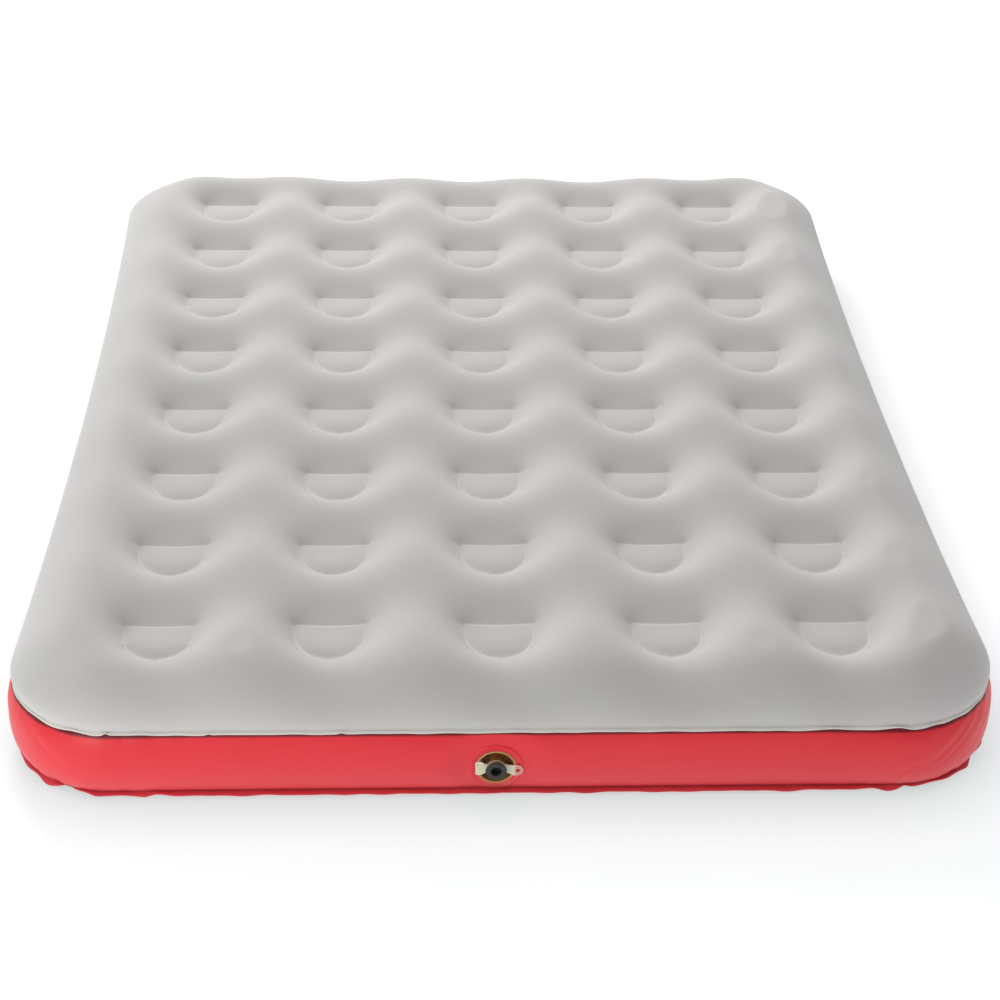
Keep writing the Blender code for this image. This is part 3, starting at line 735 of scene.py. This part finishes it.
def surfacePiece():
    x, y, height, held = buildSurface()
    points = np.stack([x, y, height], axis=-1).reshape(-1, 3)
    columns, rows = x.shape
    faces = []
    for i in range(columns - 1):
        for j in range(rows - 1):
            a, b, c, d = i * rows + j, (i + 1) * rows + j, (i + 1) * rows + j + 1, i * rows + j + 1
            if held[i, j] and held[i + 1, j + 1] and not (held[i + 1, j] or held[i, j + 1]):
                faces += [(a, b, c), (a, c, d)]  # the weld line runs along a diagonal
            elif held[i + 1, j] and held[i, j + 1] and not (held[i, j] or held[i + 1, j + 1]):
                faces += [(a, b, d), (b, c, d)]
            else:
                faces.append((a, b, c, d))
    piece = makePiece("sleeping_surface", points, faces, flockFinish, 75)
    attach(piece, "bed")
    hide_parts("top_sheet")
    return piece


sleepingSurface = surfacePiece()
print("surface:", len(sleepingSurface.data.vertices), "points")


# ---- weld lips along the two seams

topLip = {
    "thickness": 0.0012,
    "wave": 0.0008,
    "cornerWave": 0.0012,
    "droop": 0.0004,
    "width": 0.60,
    "cornerDraw": 0.08,
    "sideWidth": 0.42,  # share of the flange that shows along the long sides
    "tucks": [  # beside, width, lift
        ((-0.596, -0.99), 0.0045, 0.0040),
        ((-0.443, -0.99), 0.0030, 0.0020),
        ((-0.248, -0.99), 0.0030, 0.0022),
        ((0.484, -0.99), 0.0200, 0.0022),
        ((0.552, -0.99), 0.0160, -0.0016),
        ((0.590, -0.99), 0.0150, 0.0026),
        ((0.640, -0.98), 0.0120, 0.0020),
    ],
}

bottomLip = {
    "thickness": 0.0014,
    "droop": 0.0016,
    "width": 0.86,
    "cornerDraw": 0.42,  # the lip is this much narrower round the corners
    "wave": 0.0010,
    "cornerWave": 0.0013,
    "pleats": [  # beside, width, how far out, how far up
        ((-0.693, -0.948), 0.0170, 0.0030, -0.0014),
        ((-0.655, -0.965), 0.0100, -0.0030, 0.0020),
        ((-0.617, -0.984), 0.0110, 0.0024, -0.0014),
        ((-0.540, -0.990), 0.0100, 0.0025, -0.0015),
        ((-0.026, -0.990), 0.0060, 0.0022, 0.0022),
        ((-0.007, -0.990), 0.0050, 0.0020, 0.0020),
        ((0.577, -0.990), 0.0140, 0.0030, -0.0016),
        ((0.604, -0.985), 0.0070, -0.0030, 0.0020),
        ((0.660, -0.960), 0.0120, 0.0022, 0.0020),
        ((0.705, -0.930), 0.0110, 0.0034, 0.0020),
        ((0.722, -0.905), 0.0070, -0.0024, 0.0008),
        ((0.742, -0.870), 0.0140, 0.0030, 0.0018),
        ((0.700, 0.930), 0.0150, 0.0045, -0.0010),
        ((0.660, 0.965), 0.0120, -0.0030, 0.0015),
        ((-0.700, 0.930), 0.0130, 0.0045, 0.0020),
        ((-0.650, 0.970), 0.0140, 0.0035, -0.0010),
    ],
}


def lipSection(inner, edge, heightIn, heightOut, thickness):
    # thin rounded strip from the seam out to the lip's edge, as six lines round the bed
    half = thickness / 2
    outer = inner + (edge - inner) * 0.96
    start = inner + (inner - edge) * 0.25
    lines = []
    for plan, height in (
        (start, heightIn + half),
        (outer, heightOut + half),
        (edge, heightOut + half * 0.3),
        (edge, heightOut - half * 0.3),
        (outer, heightOut - half),
        (start, heightIn - half),
    ):
        lines.append(np.column_stack([plan, height]))
    return lines


def buildTopLip():
    along, total = travel(topEdge)
    corner = atCorners(topEdge)
    height = np.full(len(along), bed["topSeam"])
    wave = wander(along, total, (37, 61, 83, 121), 3) * (topLip["wave"] + topLip["cornerWave"] * corner)
    outer = height - topLip["droop"] + wave
    for spot, width, lift in topLip["tucks"]:
        outer += lift * bellCurve(fromSpot(topEdge, spot), width)
    reach = 1.0 + 0.12 * wander(along, total, (29, 53, 97, 143), 4) * (0.4 + corner)
    across = topOut[:, 0] ** 2
    width = topLip["width"] + (topLip["sideWidth"] - topLip["width"]) * across - topLip["cornerDraw"] * corner
    edge = topRing + (topEdge - topRing) * (width * reach)[:, None]
    middleRing = topRing + (edge - topRing) * 0.5
    inner = lipSection(topRing, edge, height, outer, topLip["thickness"])
    upper = np.column_stack([middleRing, (height + outer) / 2 + wave * 0.5 + topLip["thickness"] / 2])
    lower = np.column_stack([middleRing, (height + outer) / 2 + wave * 0.5 - topLip["thickness"] / 2])
    lines = [inner[0], upper, *inner[1:5], lower, inner[5]]
    piece = sweep("top_weld_lip", lines, lipFinish, sharpDegrees=60)
    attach(piece, "bed")
    return piece


def buildBottomLip():
    along, total = travel(bottomEdge)
    corner = atCorners(bottomEdge)
    height = np.full(len(along), bed["bottomSeam"])
    wave = wander(along, total, (41, 67, 89, 131), 7) * (bottomLip["wave"] + bottomLip["cornerWave"] * corner)
    outer = height - bottomLip["droop"] + wave
    reach = np.zeros(len(along))
    for spot, width, out, up in bottomLip["pleats"]:
        bell = bellCurve(fromSpot(bottomEdge, spot), width)
        outer += up * bell
        reach += out * bell
    reach += wander(along, total, (47, 73, 109), 8) * (0.0006 + 0.0012 * corner)
    outer = np.maximum(outer, 0.0022)
    width = bottomLip["width"] - bottomLip["cornerDraw"] * corner
    edge = bottomRing + (bottomEdge - bottomRing) * width[:, None] + outward(bottomEdge) * reach[:, None]
    middleRing = bottomRing + (edge - bottomRing) * 0.5
    inner = lipSection(bottomRing, edge, height, outer, bottomLip["thickness"])
    between = (height + outer) / 2 + wave * 0.4
    upper = np.column_stack([middleRing, between + bottomLip["thickness"] / 2])
    lower = np.column_stack([middleRing, between - bottomLip["thickness"] / 2])
    lines = [inner[0], upper, *inner[1:5], lower, inner[5]]
    piece = sweep("bottom_weld_lip", lines, litLipFinish, sharpDegrees=60)
    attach(piece, "bed")
    return piece


buildTopLip()
buildBottomLip()
print("lips: built")


# ---- side band, with its bulge, creases and the hole for the valve

band = {
    "bulge": 0.0088,
    "boxy": 3.0,  # 2 gives an even bow, more gives a fuller foot and head
    "cornerBulge": 0.0052,
    "uneven": 0.16,
    "flatNear": (0.041, 0.088),  # the film lies flat round the valve and is full beyond
    "rows": 26,
    "pleatDepth": 0.0016,
    "creases": [  # beside, share of height, length along the band, rise, depth, width
        ((0.66, -0.97), 0.55, 0.130, 0.75, 0.0022, 0.0052),
        ((0.69, -0.95), 0.62, 0.120, 0.70, 0.0018, 0.0045),
        ((0.61, -0.98), 0.40, 0.110, 0.55, 0.0014, 0.0050),
        ((0.72, -0.90), 0.70, 0.080, 0.85, 0.0020, 0.0050),
        ((-0.68, -0.95), 0.62, 0.090, -0.60, 0.0010, 0.0060),
        ((0.10, -0.98), 0.45, 0.070, -0.50, 0.0008, 0.0070),
        ((-0.70, 0.95), 0.55, 0.120, 0.70, 0.0020, 0.0050),
        ((0.69, 0.95), 0.50, 0.120, -0.70, 0.0020, 0.0052),
        ((0.73, 0.88), 0.60, 0.090, -0.80, 0.0016, 0.0050),
        ((0.757, 0.30), 0.45, 0.120, 0.35, 0.0008, 0.0070),
        ((-0.757, -0.40), 0.50, 0.140, -0.30, 0.0008, 0.0070),
    ],
}


def bandHeights():
    # shares of the height from the bottom seam up, even across the valve
    low, high = bed["bottomSeam"], bed["topSeam"]
    reach = valveZone["reach"]
    fine = np.linspace(valveSpot.z - reach, valveSpot.z + reach, 2 * valveZone["steps"] + 1)
    under = np.linspace(low, fine[0], 3)[:-1]
    above = np.linspace(fine[-1], high, 6)[1:]
    heights = np.concatenate([under, fine, above])
    return (heights - low) / (high - low), len(under)


def bandCreases(along, total, shares):
    # how far the film stands in, for each row and place
    depth = np.zeros((len(shares), len(along)))
    height = bed["topSeam"] - bed["bottomSeam"]
    corner = atCorners(topRing)
    fine = wander(along, total, (171, 233, 307), 21)
    coarse = wander(along, total, (83, 127), 22)
    for row, share in enumerate(shares):
        nearTop = np.exp(-(1.0 - share) * height / 0.011)
        nearBottom = np.exp(-share * height / 0.014)
        pleats = (fine * 0.6 + coarse * 0.7) * (0.10 + corner)
        depth[row] = band["pleatDepth"] * pleats * (nearTop + nearBottom)
        depth[row] *= smooth(share, 0.0, 0.03) * (1.0 - smooth(share, 0.98, 1.0))
        for spot, centre, length, rise, deep, width in band["creases"]:
            away = fromSpot(topRing, spot)
            up = (share - centre) * height
            slope = math.hypot(1.0, rise)
            side = (up - rise * away) / slope
            run = (away + rise * up) / slope
            fold = bellCurve(side, width) - 0.55 * bellCurve(side - width * 1.7, width * 1.3)
            depth[row] += deep * fold * bellCurve(run, length / 2)
    return depth


def buildBand():
    shares, valveRow = bandHeights()
    along, total = travel(topRing)
    creases = bandCreases(along, total, shares)
    uneven = 1.0 + band["uneven"] * wander(along, total, (5, 9, 14), 5)
    fullness = band["bulge"] * uneven + band["cornerBulge"] * atCorners(topRing)
    patch = []
    rows = []
    for row, share in enumerate(shares):
        ring = bottomRing + (topRing - bottomRing) * share
        out = bottomOut + (topOut - bottomOut) * share
        height = bed["bottomSeam"] + (bed["topSeam"] - bed["bottomSeam"]) * share
        atValve = np.hypot(ring[:, 0] - valveSpot.x, height - valveSpot.z)
        full = np.where(ring[:, 1] < 0, smooth(atValve, *band["flatNear"]), 1.0)
        bow = fullness * (1.0 - abs(2.0 * share - 1.0) ** band["boxy"]) * full
        away = bow - creases[row] * np.where(ring[:, 1] < 0, smooth(atValve, 0.042, 0.08), 1.0)
        ring = ring + out * away[:, None]
        rows.append(np.column_stack([ring, np.full(len(ring), height)]))
    # work the round hole into the square patch at the valve
    steps = valveZone["steps"]
    for a in range(-steps, steps + 1):
        for b in range(-steps, steps + 1):
            far = max(abs(a), abs(b)) / steps
            column, row = valveStart + steps + a, valveRow + steps + b
            if far == 0:
                continue
            angle = math.atan2(b, a)
            inner = valveZone["holeShare"]
            radius = valveZone["hole"] + (valveZone["reach"] - valveZone["hole"]) * (far - inner) / (1 - inner)
            share = 1.0 - smooth(np.array(far), inner, 1.0)
            point = rows[row][column]
            point[0] += (valveSpot.x + radius * math.cos(angle) - point[0]) * share
            point[2] += (valveSpot.z + radius * math.sin(angle) - point[2]) * share
            if far < inner - 1e-6:
                patch.append((row, column))
    count = len(topRing)
    gone = set(patch)
    points = np.concatenate(rows)
    faces = []
    for row in range(len(rows) - 1):
        for i in range(count):
            j = (i + 1) % count
            corners = ((row, i), (row, j), (row + 1, j), (row + 1, i))
            if any(corner in gone for corner in corners):
                continue
            centreA = valveStart + steps
            centreB = valveRow + steps
            if max(abs(i + 0.5 - centreA), abs(row + 0.5 - centreB)) < valveZone["holeShare"] * steps:
                continue
            faces.append(tuple(r * count + c for r, c in corners))
    piece = makePiece("side_band", points, faces, bandFinish, 50)
    thick = piece.modifiers.new("film", "SOLIDIFY")
    thick.thickness = 0.0005
    thick.offset = -1.0
    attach(piece, "bed")
    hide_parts("side_wall", "valve_panel")
    return piece


valveZone["holeShare"] = 7 / 12
sideBand = buildBand()
print("band:", len(sideBand.data.vertices), "points")


# ---- ground sheet

ground = {"footInset": 0.060, "weldPress": 0.0006}


def buildGround():
    rings = []
    for inset in (0.011, 0.018, 0.028, 0.042, 0.060, 0.075):
        share = min(1.0, (inset - 0.011) / (ground["footInset"] - 0.011))
        height = bed["bottomSeam"] * (1.0 - share) ** 2.2 + 0.0003
        ring = outline.ring(inset, bed["bottomRadius"])
        rings.append(np.column_stack([ring, np.full(len(ring), height)]))
    last = rings[-1]
    count = len(last)
    points = np.concatenate(rings)
    faces = []
    for k in range(len(rings) - 1):
        for i in range(count):
            j = (i + 1) % count
            faces.append((k * count + i, (k + 1) * count + i, (k + 1) * count + j, k * count + j))
    faces.append(tuple((len(rings) - 1) * count + i for i in range(count))[::-1])
    piece = makePiece("ground_sheet", points, faces, bandFinish, 50)
    faceOut(piece)
    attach(piece, "bed")
    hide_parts("bottom_sheet")
    return piece


buildGround()


# ---- valve

valve = {
    "cupRadius": 0.027,
    "cupWall": 0.0012,
    "holeClearance": 0.0003,
    "rimWidth": 0.0018,
    "rimThickness": 0.0012,
    "beadHalfWidth": 0.0009,
    "beadRise": 0.0007,
    "seatBore": 0.0124,
    "seatWall": 0.0020,
    "seatRise": 0.0070,
    "floorThickness": 0.0015,
    "ribs": 6,
    "ribThickness": 0.0016,
    "ribHeight": 0.0045,
    "steps": 96,
}
bodyLow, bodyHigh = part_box("valve_body")
rimFront = bodyLow.y
floorBack = bodyHigh.y
floorFront = floorBack - valve["floorThickness"]


def turned(name, profile, material, steps=None, sharpDegrees=42):
    # round piece about the valve axis, from (radius, y) points in order round its section
    steps = steps or valve["steps"]
    points, faces, rings = [], [], []
    for radius, y in profile:
        start = len(points)
        if radius == 0.0:
            points.append((valveSpot.x, y, valveSpot.z))
            rings.append([start] * steps)
            continue
        for step in range(steps):
            angle = 2 * math.pi * step / steps
            points.append((valveSpot.x + radius * math.cos(angle), y, valveSpot.z + radius * math.sin(angle)))
        rings.append(list(range(start, start + steps)))
    for k, ring in enumerate(rings):
        following = rings[(k + 1) % len(rings)]
        for step in range(steps):
            after = (step + 1) % steps
            face = []
            for corner in (ring[step], following[step], following[after], ring[after]):
                if corner not in face:
                    face.append(corner)
            if len(face) > 2:
                faces.append(tuple(face))
    return faceOut(makePiece(name, points, faces, material, sharpDegrees))


def rounded(profile, radius, steps=4):
    # the same closed profile with its corners rounded off
    made = []
    count = len(profile)
    for k in range(count):
        here = Vector(profile[k])
        before = Vector(profile[k - 1])
        after = Vector(profile[(k + 1) % count])
        if here.x == 0.0:
            made.append(tuple(here))
            continue
        reach = min(radius, (before - here).length * 0.45, (after - here).length * 0.45)
        first = here + (before - here).normalized() * reach
        last = here + (after - here).normalized() * reach
        for step in range(steps + 1):
            t = step / steps
            made.append(tuple(first * (1 - t) ** 2 + here * 2 * t * (1 - t) + last * t * t))
    return made


def addRounding(piece, width, segments=2, degrees=40):
    bevel = piece.modifiers.new("rounding", "BEVEL")
    bevel.width = width
    bevel.segments = segments
    bevel.limit_method = "ANGLE"
    bevel.angle_limit = math.radians(degrees)
    bevel.harden_normals = False
    return piece


def buildCup():
    cupOuter = valve["cupRadius"] + valve["cupWall"]
    rimRadius = cupOuter + valve["holeClearance"] + valve["rimWidth"]
    rimBack = rimFront + valve["rimThickness"]
    seatOuter = valve["seatBore"] + valve["seatWall"]
    seatMouth = floorFront - valve["seatRise"]
    profile = [
        (valve["cupRadius"], rimFront),
        (rimRadius, rimFront),
        (rimRadius, rimBack),
        (cupOuter, rimBack),
        (cupOuter, floorBack),
        (valve["seatBore"], floorBack),
        (valve["seatBore"], seatMouth),
        (seatOuter, seatMouth),
        (seatOuter, floorFront),
        (valve["cupRadius"], floorFront),
    ]
    cup = turned("valve_cup", rounded(profile, 0.0005), amberFinish)
    tool = bmesh.new()
    tool.from_mesh(cup.data)
    start, end = seatOuter - 0.0006, valve["cupRadius"] + 0.0006
    for index in range(valve["ribs"]):
        turn = Matrix.Rotation(2 * math.pi * (index + 0.5) / valve["ribs"], 4, "Y")
        size = Matrix.Diagonal((end - start, valve["ribHeight"], valve["ribThickness"], 1))
        shift = Matrix.Translation(((start + end) / 2, floorFront - valve["ribHeight"] / 2 + 0.0003, 0))
        lift = Matrix.Translation((valveSpot.x, 0, valveSpot.z))
        made = bmesh.ops.create_cube(tool, size=1.0, matrix=lift @ turn @ shift @ size)
        edges = {edge for vertex in made["verts"] for edge in vertex.link_edges}
        bmesh.ops.bevel(tool, geom=list(edges), offset=0.0003, segments=2, affect="EDGES", profile=0.5)
    tool.to_mesh(cup.data)
    tool.free()
    cup.data.shade_smooth()
    cup.data.set_sharp_from_angle(angle=math.radians(42))
    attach(cup, "bed")
    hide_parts("valve_body")
    # pale bead round the mouth of the cup
    rimProfile = []
    for step in range(10):
        angle = 2 * math.pi * step / 10
        across = rimRadius - 0.0012 + valve["beadHalfWidth"] * math.cos(angle)
        rimProfile.append((across, rimFront + 0.0001 + valve["beadRise"] * math.sin(angle)))
    bead = turned("valve_rim_bead", rimProfile, rimFinish)
    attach(bead, "bed")


weldRing = {"outer": 0.0408, "rise": 0.0005, "bead": 0.0015}


def buildWeldRing():
    # the band pressed over the collar's flange: a low step with a raised outer edge
    hole = valveZone["hole"]
    outer = weldRing["outer"]
    front = wallFront - weldRing["rise"]
    back = wallFront + 0.0004
    profile = [
        (hole + 0.0004, back),
        (hole + 0.0004, front),
        (outer - 0.0048, front),
        (outer - 0.0036, front - weldRing["bead"] * 0.6),
        (outer - 0.0024, front - weldRing["bead"]),
        (outer - 0.0012, front - weldRing["bead"] * 0.75),
        (outer - 0.0003, front - weldRing["bead"] * 0.25),
        (outer + 0.0006, front + 0.0003),
        (outer + 0.0008, back),
    ]
    ring = turned("valve_weld_ring", profile, bandFinish, steps=128, sharpDegrees=60)
    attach(ring, "bed")


strap = {
    "thickness": 0.0012,
    "halfHeight": 0.0100,
    "anchorHalf": 0.0124,
    "eyeRadius": 0.0123,
    "eyeWall": 0.0024,
    "sag": 0.0042,  # the free end hangs this far below the middle
    "rootEnd": -0.0309,
    "tabEnd": 0.0410,
    "tabHole": 0.0030,
    "tabCentre": 0.0333,
    "tabRing": 0.0048,  # moulded ring round the tab's hole
    "ringHalfWidth": 0.0006,
    "ringRise": 0.0005,
    "rivetHole": (-0.0272, 0.0062, 0.0011),  # place along and up, and radius
    "hingeReach": 0.0270,
    "hingeHalf": 0.0035,
}
strapLow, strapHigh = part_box("stopper_strap")
strapFront, strapBack = strapLow.y, strapHigh.y


def strapHalf(side, x):
    # half height of the strap at a place along it; side is -1 for the fixed end, 1 for the tab
    eye = strap["eyeRadius"] + strap["eyeWall"]
    height = strap["halfHeight"]
    inEye = math.sqrt(max(0.0, eye * eye - x * x))
    waist = 0.0078
    if side < 0:
        shoulder = waist + (strap["anchorHalf"] - waist) * float(smooth(np.array(-x), 0.014, 0.0235))
        end = strap["rootEnd"]
        cornerRadius = 0.0035
        beyond = max(0.0, (end + cornerRadius) - x)
        shoulder -= cornerRadius - math.sqrt(max(0.0, cornerRadius**2 - beyond**2)) if beyond else 0.0
    else:
        shoulder = waist + (height - waist) * float(smooth(np.array(x), 0.019, 0.031))
        end = strap["tabEnd"]
        beyond = max(0.0, x - (end - height))
        if beyond:
            shoulder = math.sqrt(max(0.0, height**2 - beyond**2))
    return max(inEye, shoulder)


def circle(x, z, radius, steps):
    turns = np.linspace(0, 2 * np.pi, steps + 1)[:-1]
    return [(x + radius * math.cos(turn), z + radius * math.sin(turn)) for turn in turns]


def strapDrop(x):
    return 0.0010 + strap["sag"] * float(smooth(np.array(x), 0.010, 0.031))


def strapPiece(name, side):
    # flat strip from the eye's middle to one end, cut round the eye
    end = strap["rootEnd"] if side < 0 else strap["tabEnd"]
    steps = 44
    shares = [1 - (1 - k / steps) ** 1.6 for k in range(steps + 1)]
    outside = []
    for share in shares:
        x = side * 0.0001 + (end - side * 0.0001) * share
        outside.append((x, strapHalf(side, x)))
    loop = outside + [(x, -z) for x, z in reversed(outside) if z > 1e-5]
    tool = bmesh.new()
    eye = strap["eyeRadius"]
    for angleStep in range(17):  # the half eye, back up to the start
        angle = -math.pi / 2 + math.pi * angleStep / 16
        loop.append((side * max(0.0001, eye * math.cos(angle)), eye * math.sin(angle)))
    loops = [loop]
    holes = []
    if side > 0:
        centre = strap["tabCentre"]
        holes.append(circle(centre, 0.0, strap["tabHole"], 24))
    else:
        holes.append(circle(*strap["rivetHole"], 12))
    for ring in loops + holes:
        corners = [tool.verts.new((valveSpot.x + x, strapBack, valveSpot.z + z)) for x, z in ring]
        for first, second in zip(corners, corners[1:] + corners[:1]):
            tool.edges.new((first, second))
    bmesh.ops.triangle_fill(tool, edges=tool.edges[:], use_beauty=True)
    for cut in np.linspace(0.003, abs(end) - 0.002, 22):
        bmesh.ops.bisect_plane(
            tool,
            geom=tool.verts[:] + tool.edges[:] + tool.faces[:],
            plane_co=(valveSpot.x + side * cut, 0, 0),
            plane_no=(1, 0, 0),
        )
    for corner in tool.verts:
        corner.co.z -= strapDrop(corner.co.x - valveSpot.x)
    result = bmesh.ops.extrude_face_region(tool, geom=tool.faces[:])
    moved = [item for item in result["geom"] if isinstance(item, bmesh.types.BMVert)]
    bmesh.ops.translate(tool, verts=moved, vec=(0, strapFront - strapBack, 0))
    bmesh.ops.recalc_face_normals(tool, faces=tool.faces[:])
    mesh = bpy.data.meshes.new(name)
    tool.to_mesh(mesh)
    tool.free()
    mesh.materials.append(clearFinish)
    mesh.shade_smooth()
    mesh.set_sharp_from_angle(angle=math.radians(35))
    piece = bpy.data.objects.new(name, mesh)
    bpy.context.scene.collection.objects.link(piece)
    return piece


def applyModifiers(piece):
    bpy.context.view_layer.update()
    graph = bpy.context.evaluated_depsgraph_get()
    mesh = bpy.data.meshes.new_from_object(piece.evaluated_get(graph), depsgraph=graph)
    piece.modifiers.clear()
    piece.data = mesh
    return piece


def buildStrap():
    root = strapPiece("strap_anchor_side", -1)
    pull = strapPiece("strap_pull_side", 1)
    for piece in (root, pull):
        addRounding(piece, 0.00035, 2, 50)
        applyModifiers(piece)
    pull.data.materials.append(tabFinish)
    for face in pull.data.polygons:
        if face.center.x > valveSpot.x + strap["hingeReach"] + 0.0015:
            face.material_index = 1
    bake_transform(root)
    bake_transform(pull)
    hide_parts("strap_root", "stopper_strap")
    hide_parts("stopper_strap", "pull_tab")
    # moulded ring round the tab's hole
    centre = strap["tabCentre"]
    ringPoints = []
    x, z = valveSpot.x + centre, valveSpot.z - strapDrop(centre)
    steps, turns = 40, 8
    for step in range(steps):
        angle = 2 * math.pi * step / steps
        for turn in range(turns):
            tilt = 2 * math.pi * turn / turns
            radius = strap["tabRing"] + strap["ringHalfWidth"] * math.cos(tilt)
            y = strapFront - 0.0001 + strap["ringRise"] * math.sin(tilt)
            ringPoints.append((x + radius * math.cos(angle), y, z + radius * math.sin(angle)))
    faces = []
    for step in range(steps):
        here, after = step * turns, (step + 1) % steps * turns
        for turn in range(turns):
            beside = (turn + 1) % turns
            faces.append((here + turn, here + beside, after + beside, after + turn))
    bead = faceOut(makePiece("pull_tab_bead", ringPoints, faces, tabFinish))
    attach(bead, "tab")


stopper = {
    "capThickness": 0.0025,
    "recess": 0.0080,
    "wall": 0.0012,
    "plugRadius": 0.0120,
    "shoulder": 0.0012,
    "shoulderDepth": 0.0015,
    "taper": 0.0027,
    "gap": 0.0003,
    "steps": 72,
}


def buildStopper():
    low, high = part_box("stopper_cap")
    front, back = low.y, high.y
    thickness, recess, wall, gap = (stopper[key] for key in ("capThickness", "recess", "wall", "gap"))
    outer = (high.x - low.x) / 2
    capBack = front + thickness
    profile = [
        (recess, front + 0.0006),
        (recess + 0.0012, front),
        (outer - 0.0016, front + 0.0001),
        (outer, front + 0.0011),
        (outer, capBack),
        (recess + wall, capBack),
        (recess + wall, back),
        (0.0, back),
        (0.0, back - wall),
        (recess, back - wall),
    ]
    cap = turned("stopper_cap_disc", rounded(profile, 0.0005), rubberFinish, stopper["steps"])
    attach(cap, "stopper")
    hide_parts("stopper_cap")

    low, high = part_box("stopper_plug")
    plugRadius, taper = stopper["plugRadius"], stopper["taper"]
    shoulder = plugRadius + stopper["shoulder"]
    behind = strapBack + gap + stopper["shoulderDepth"]
    bore = recess + wall + gap
    seatMouth = floorFront - valve["seatRise"]
    profile = [
        (bore, low.y),
        (shoulder, low.y),
        (shoulder, strapFront - gap),
        (plugRadius, strapFront - gap),
        (plugRadius, strapBack + gap),
        (shoulder, strapBack + gap),
        (shoulder, behind),
        (plugRadius, behind),
        (plugRadius, seatMouth),
        (plugRadius - taper, high.y),
        (0.0, high.y),
        (0.0, back + gap),
        (bore, back + gap),
    ]
    plug = turned("stopper_plug_body", rounded(profile, 0.0004), amberFinish, stopper["steps"])
    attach(plug, "stopper")
    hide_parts("stopper_plug")


buildCup()
buildWeldRing()
buildStrap()
buildStopper()
print("valve: built")


# ---- finishes for the frame's own pieces

for name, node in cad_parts.items():
    finish = coilFinish if name.startswith("coil_beam") else clearFinish
    if name == "flap_rivet":
        finish = amberFinish
    node.data.materials.clear()
    node.data.materials.append(finish)


# ---- floor, light and camera

studio = {
    "floorSize": 24.0,
    "floorColour": (0.50, 0.56, 0.56),  # cool, to balance the red that the band throws on it
    "floorGlow": 0.68,
    "floorShade": (0.63, 0.785, 0.79),  # the glow left right beside the bed
    "shadeReach": 0.13,
    "dimFacing": (0.50, -0.86, 0.0),  # the studio is dimmer on this side
    "dimFull": 0.9,
    "dimTo": 0.52,
    "horizon": 0.66,
    "zenith": 0.58,
    "zenithFrom": 0.6,  # the sky is even above this height
    "keyPower": 222.0,
    "keyPlace": (-1.75, 5.0, 3.35),
    "keyTarget": (0.0, 0.0, 0.1),
    "keySize": 2.4,
    "fillPower": 9.0,
    "fillPlace": (-1.3, -2.4, 0.45),
    "fillTarget": (-0.85, 0.0, 0.1),
    "fillSize": 0.7,
}


def buildFloor():
    half = studio["floorSize"] / 2
    points = [(-half, -half, 0), (half, -half, 0), (half, half, 0), (-half, half, 0)]
    finish = Finish("paleFloor", studio["floorColour"], Roughness=0.95, Specular_IOR_Level=0.1)
    openness = finish.node("ShaderNodeAmbientOcclusion", {"samples": 8}, {"Distance": studio["shadeReach"]}, 1)
    openness = (openness * 2.0 - 1.0).atLeast(0.0)
    finish.feed("Emission Color", finish.blend(openness, studio["floorShade"], (1.0, 1.0, 1.0)))
    finish.shader.inputs["Emission Strength"].default_value = studio["floorGlow"]
    finish.feed("Roughness", 0.9 + finish.noise(40.0) * 0.08)
    floor = makePiece("floor", points, [(0, 1, 2, 3)], finish.material)


def aimed(name, place, target, **settings):
    lamp = bpy.data.lights.new(name, "AREA")
    for key, value in settings.items():
        setattr(lamp, key, value)
    lampObject = bpy.data.objects.new(name, lamp)
    lampObject.location = place
    lampObject.rotation_euler = (Vector(target) - Vector(place)).to_track_quat("-Z", "Y").to_euler()
    bpy.context.scene.collection.objects.link(lampObject)


def buildLight():
    for lamp in ("key", "fill"):
        power, size = studio[lamp + "Power"], studio[lamp + "Size"]
        aimed(lamp + "Light", studio[lamp + "Place"], studio[lamp + "Target"], energy=power, size=size)


def buildSky():
    world = bpy.data.worlds.new("studio")
    world.use_nodes = True
    sky = Graph(world.node_tree)
    background = sky.tree.nodes["Background"]
    background.inputs["Color"].default_value = (1.0, 1.0, 1.0, 1.0)
    direction = sky.node("ShaderNodeTexCoord", output="Generated")
    facing = {0: direction, 1: studio["dimFacing"]}
    toDim = sky.node("ShaderNodeVectorMath", {"operation": "DOT_PRODUCT"}, facing, "Value")
    level = sky.ranged(sky.axis(2, direction), studio["zenithFrom"], studio["horizon"], studio["zenith"])
    dimming = sky.ranged(toDim, studio["dimFull"], 1.0, studio["dimTo"])
    sky.tree.links.new((level * dimming).socket, background.inputs["Strength"])
    bpy.context.scene.world = world


cameraPlan = {
    "place": (-0.1547, -3.4024, 2.0404),
    "lens": 74.82,
    "sensor": 36.0,
    "down": 32.042,
    "turn": 3.126,
    "roll": 1.497,
}


def buildCamera():
    down, turn, roll = (math.radians(cameraPlan[key]) for key in ("down", "turn", "roll"))
    ahead = Vector((math.sin(turn) * math.cos(down), math.cos(turn) * math.cos(down), -math.sin(down)))
    level = Vector((math.cos(turn), -math.sin(turn), 0.0))
    upright = level.cross(ahead)
    right = level * math.cos(roll) + upright * math.sin(roll)
    up = upright * math.cos(roll) - level * math.sin(roll)
    camera = bpy.data.cameras.new("camera")
    camera.lens = cameraPlan["lens"]
    camera.sensor_width = cameraPlan["sensor"]
    camera.clip_end = 60.0
    cameraObject = bpy.data.objects.new("camera", camera)
    turned3 = Matrix((right, up, -ahead)).transposed().to_4x4()
    cameraObject.matrix_world = Matrix.Translation(cameraPlan["place"]) @ turned3
    bpy.context.scene.collection.objects.link(cameraObject)
    bpy.context.scene.camera = cameraObject


buildFloor()
buildLight()
buildSky()
buildCamera()
bpy.context.scene.view_settings.view_transform = "Standard"
print("studio: ready")
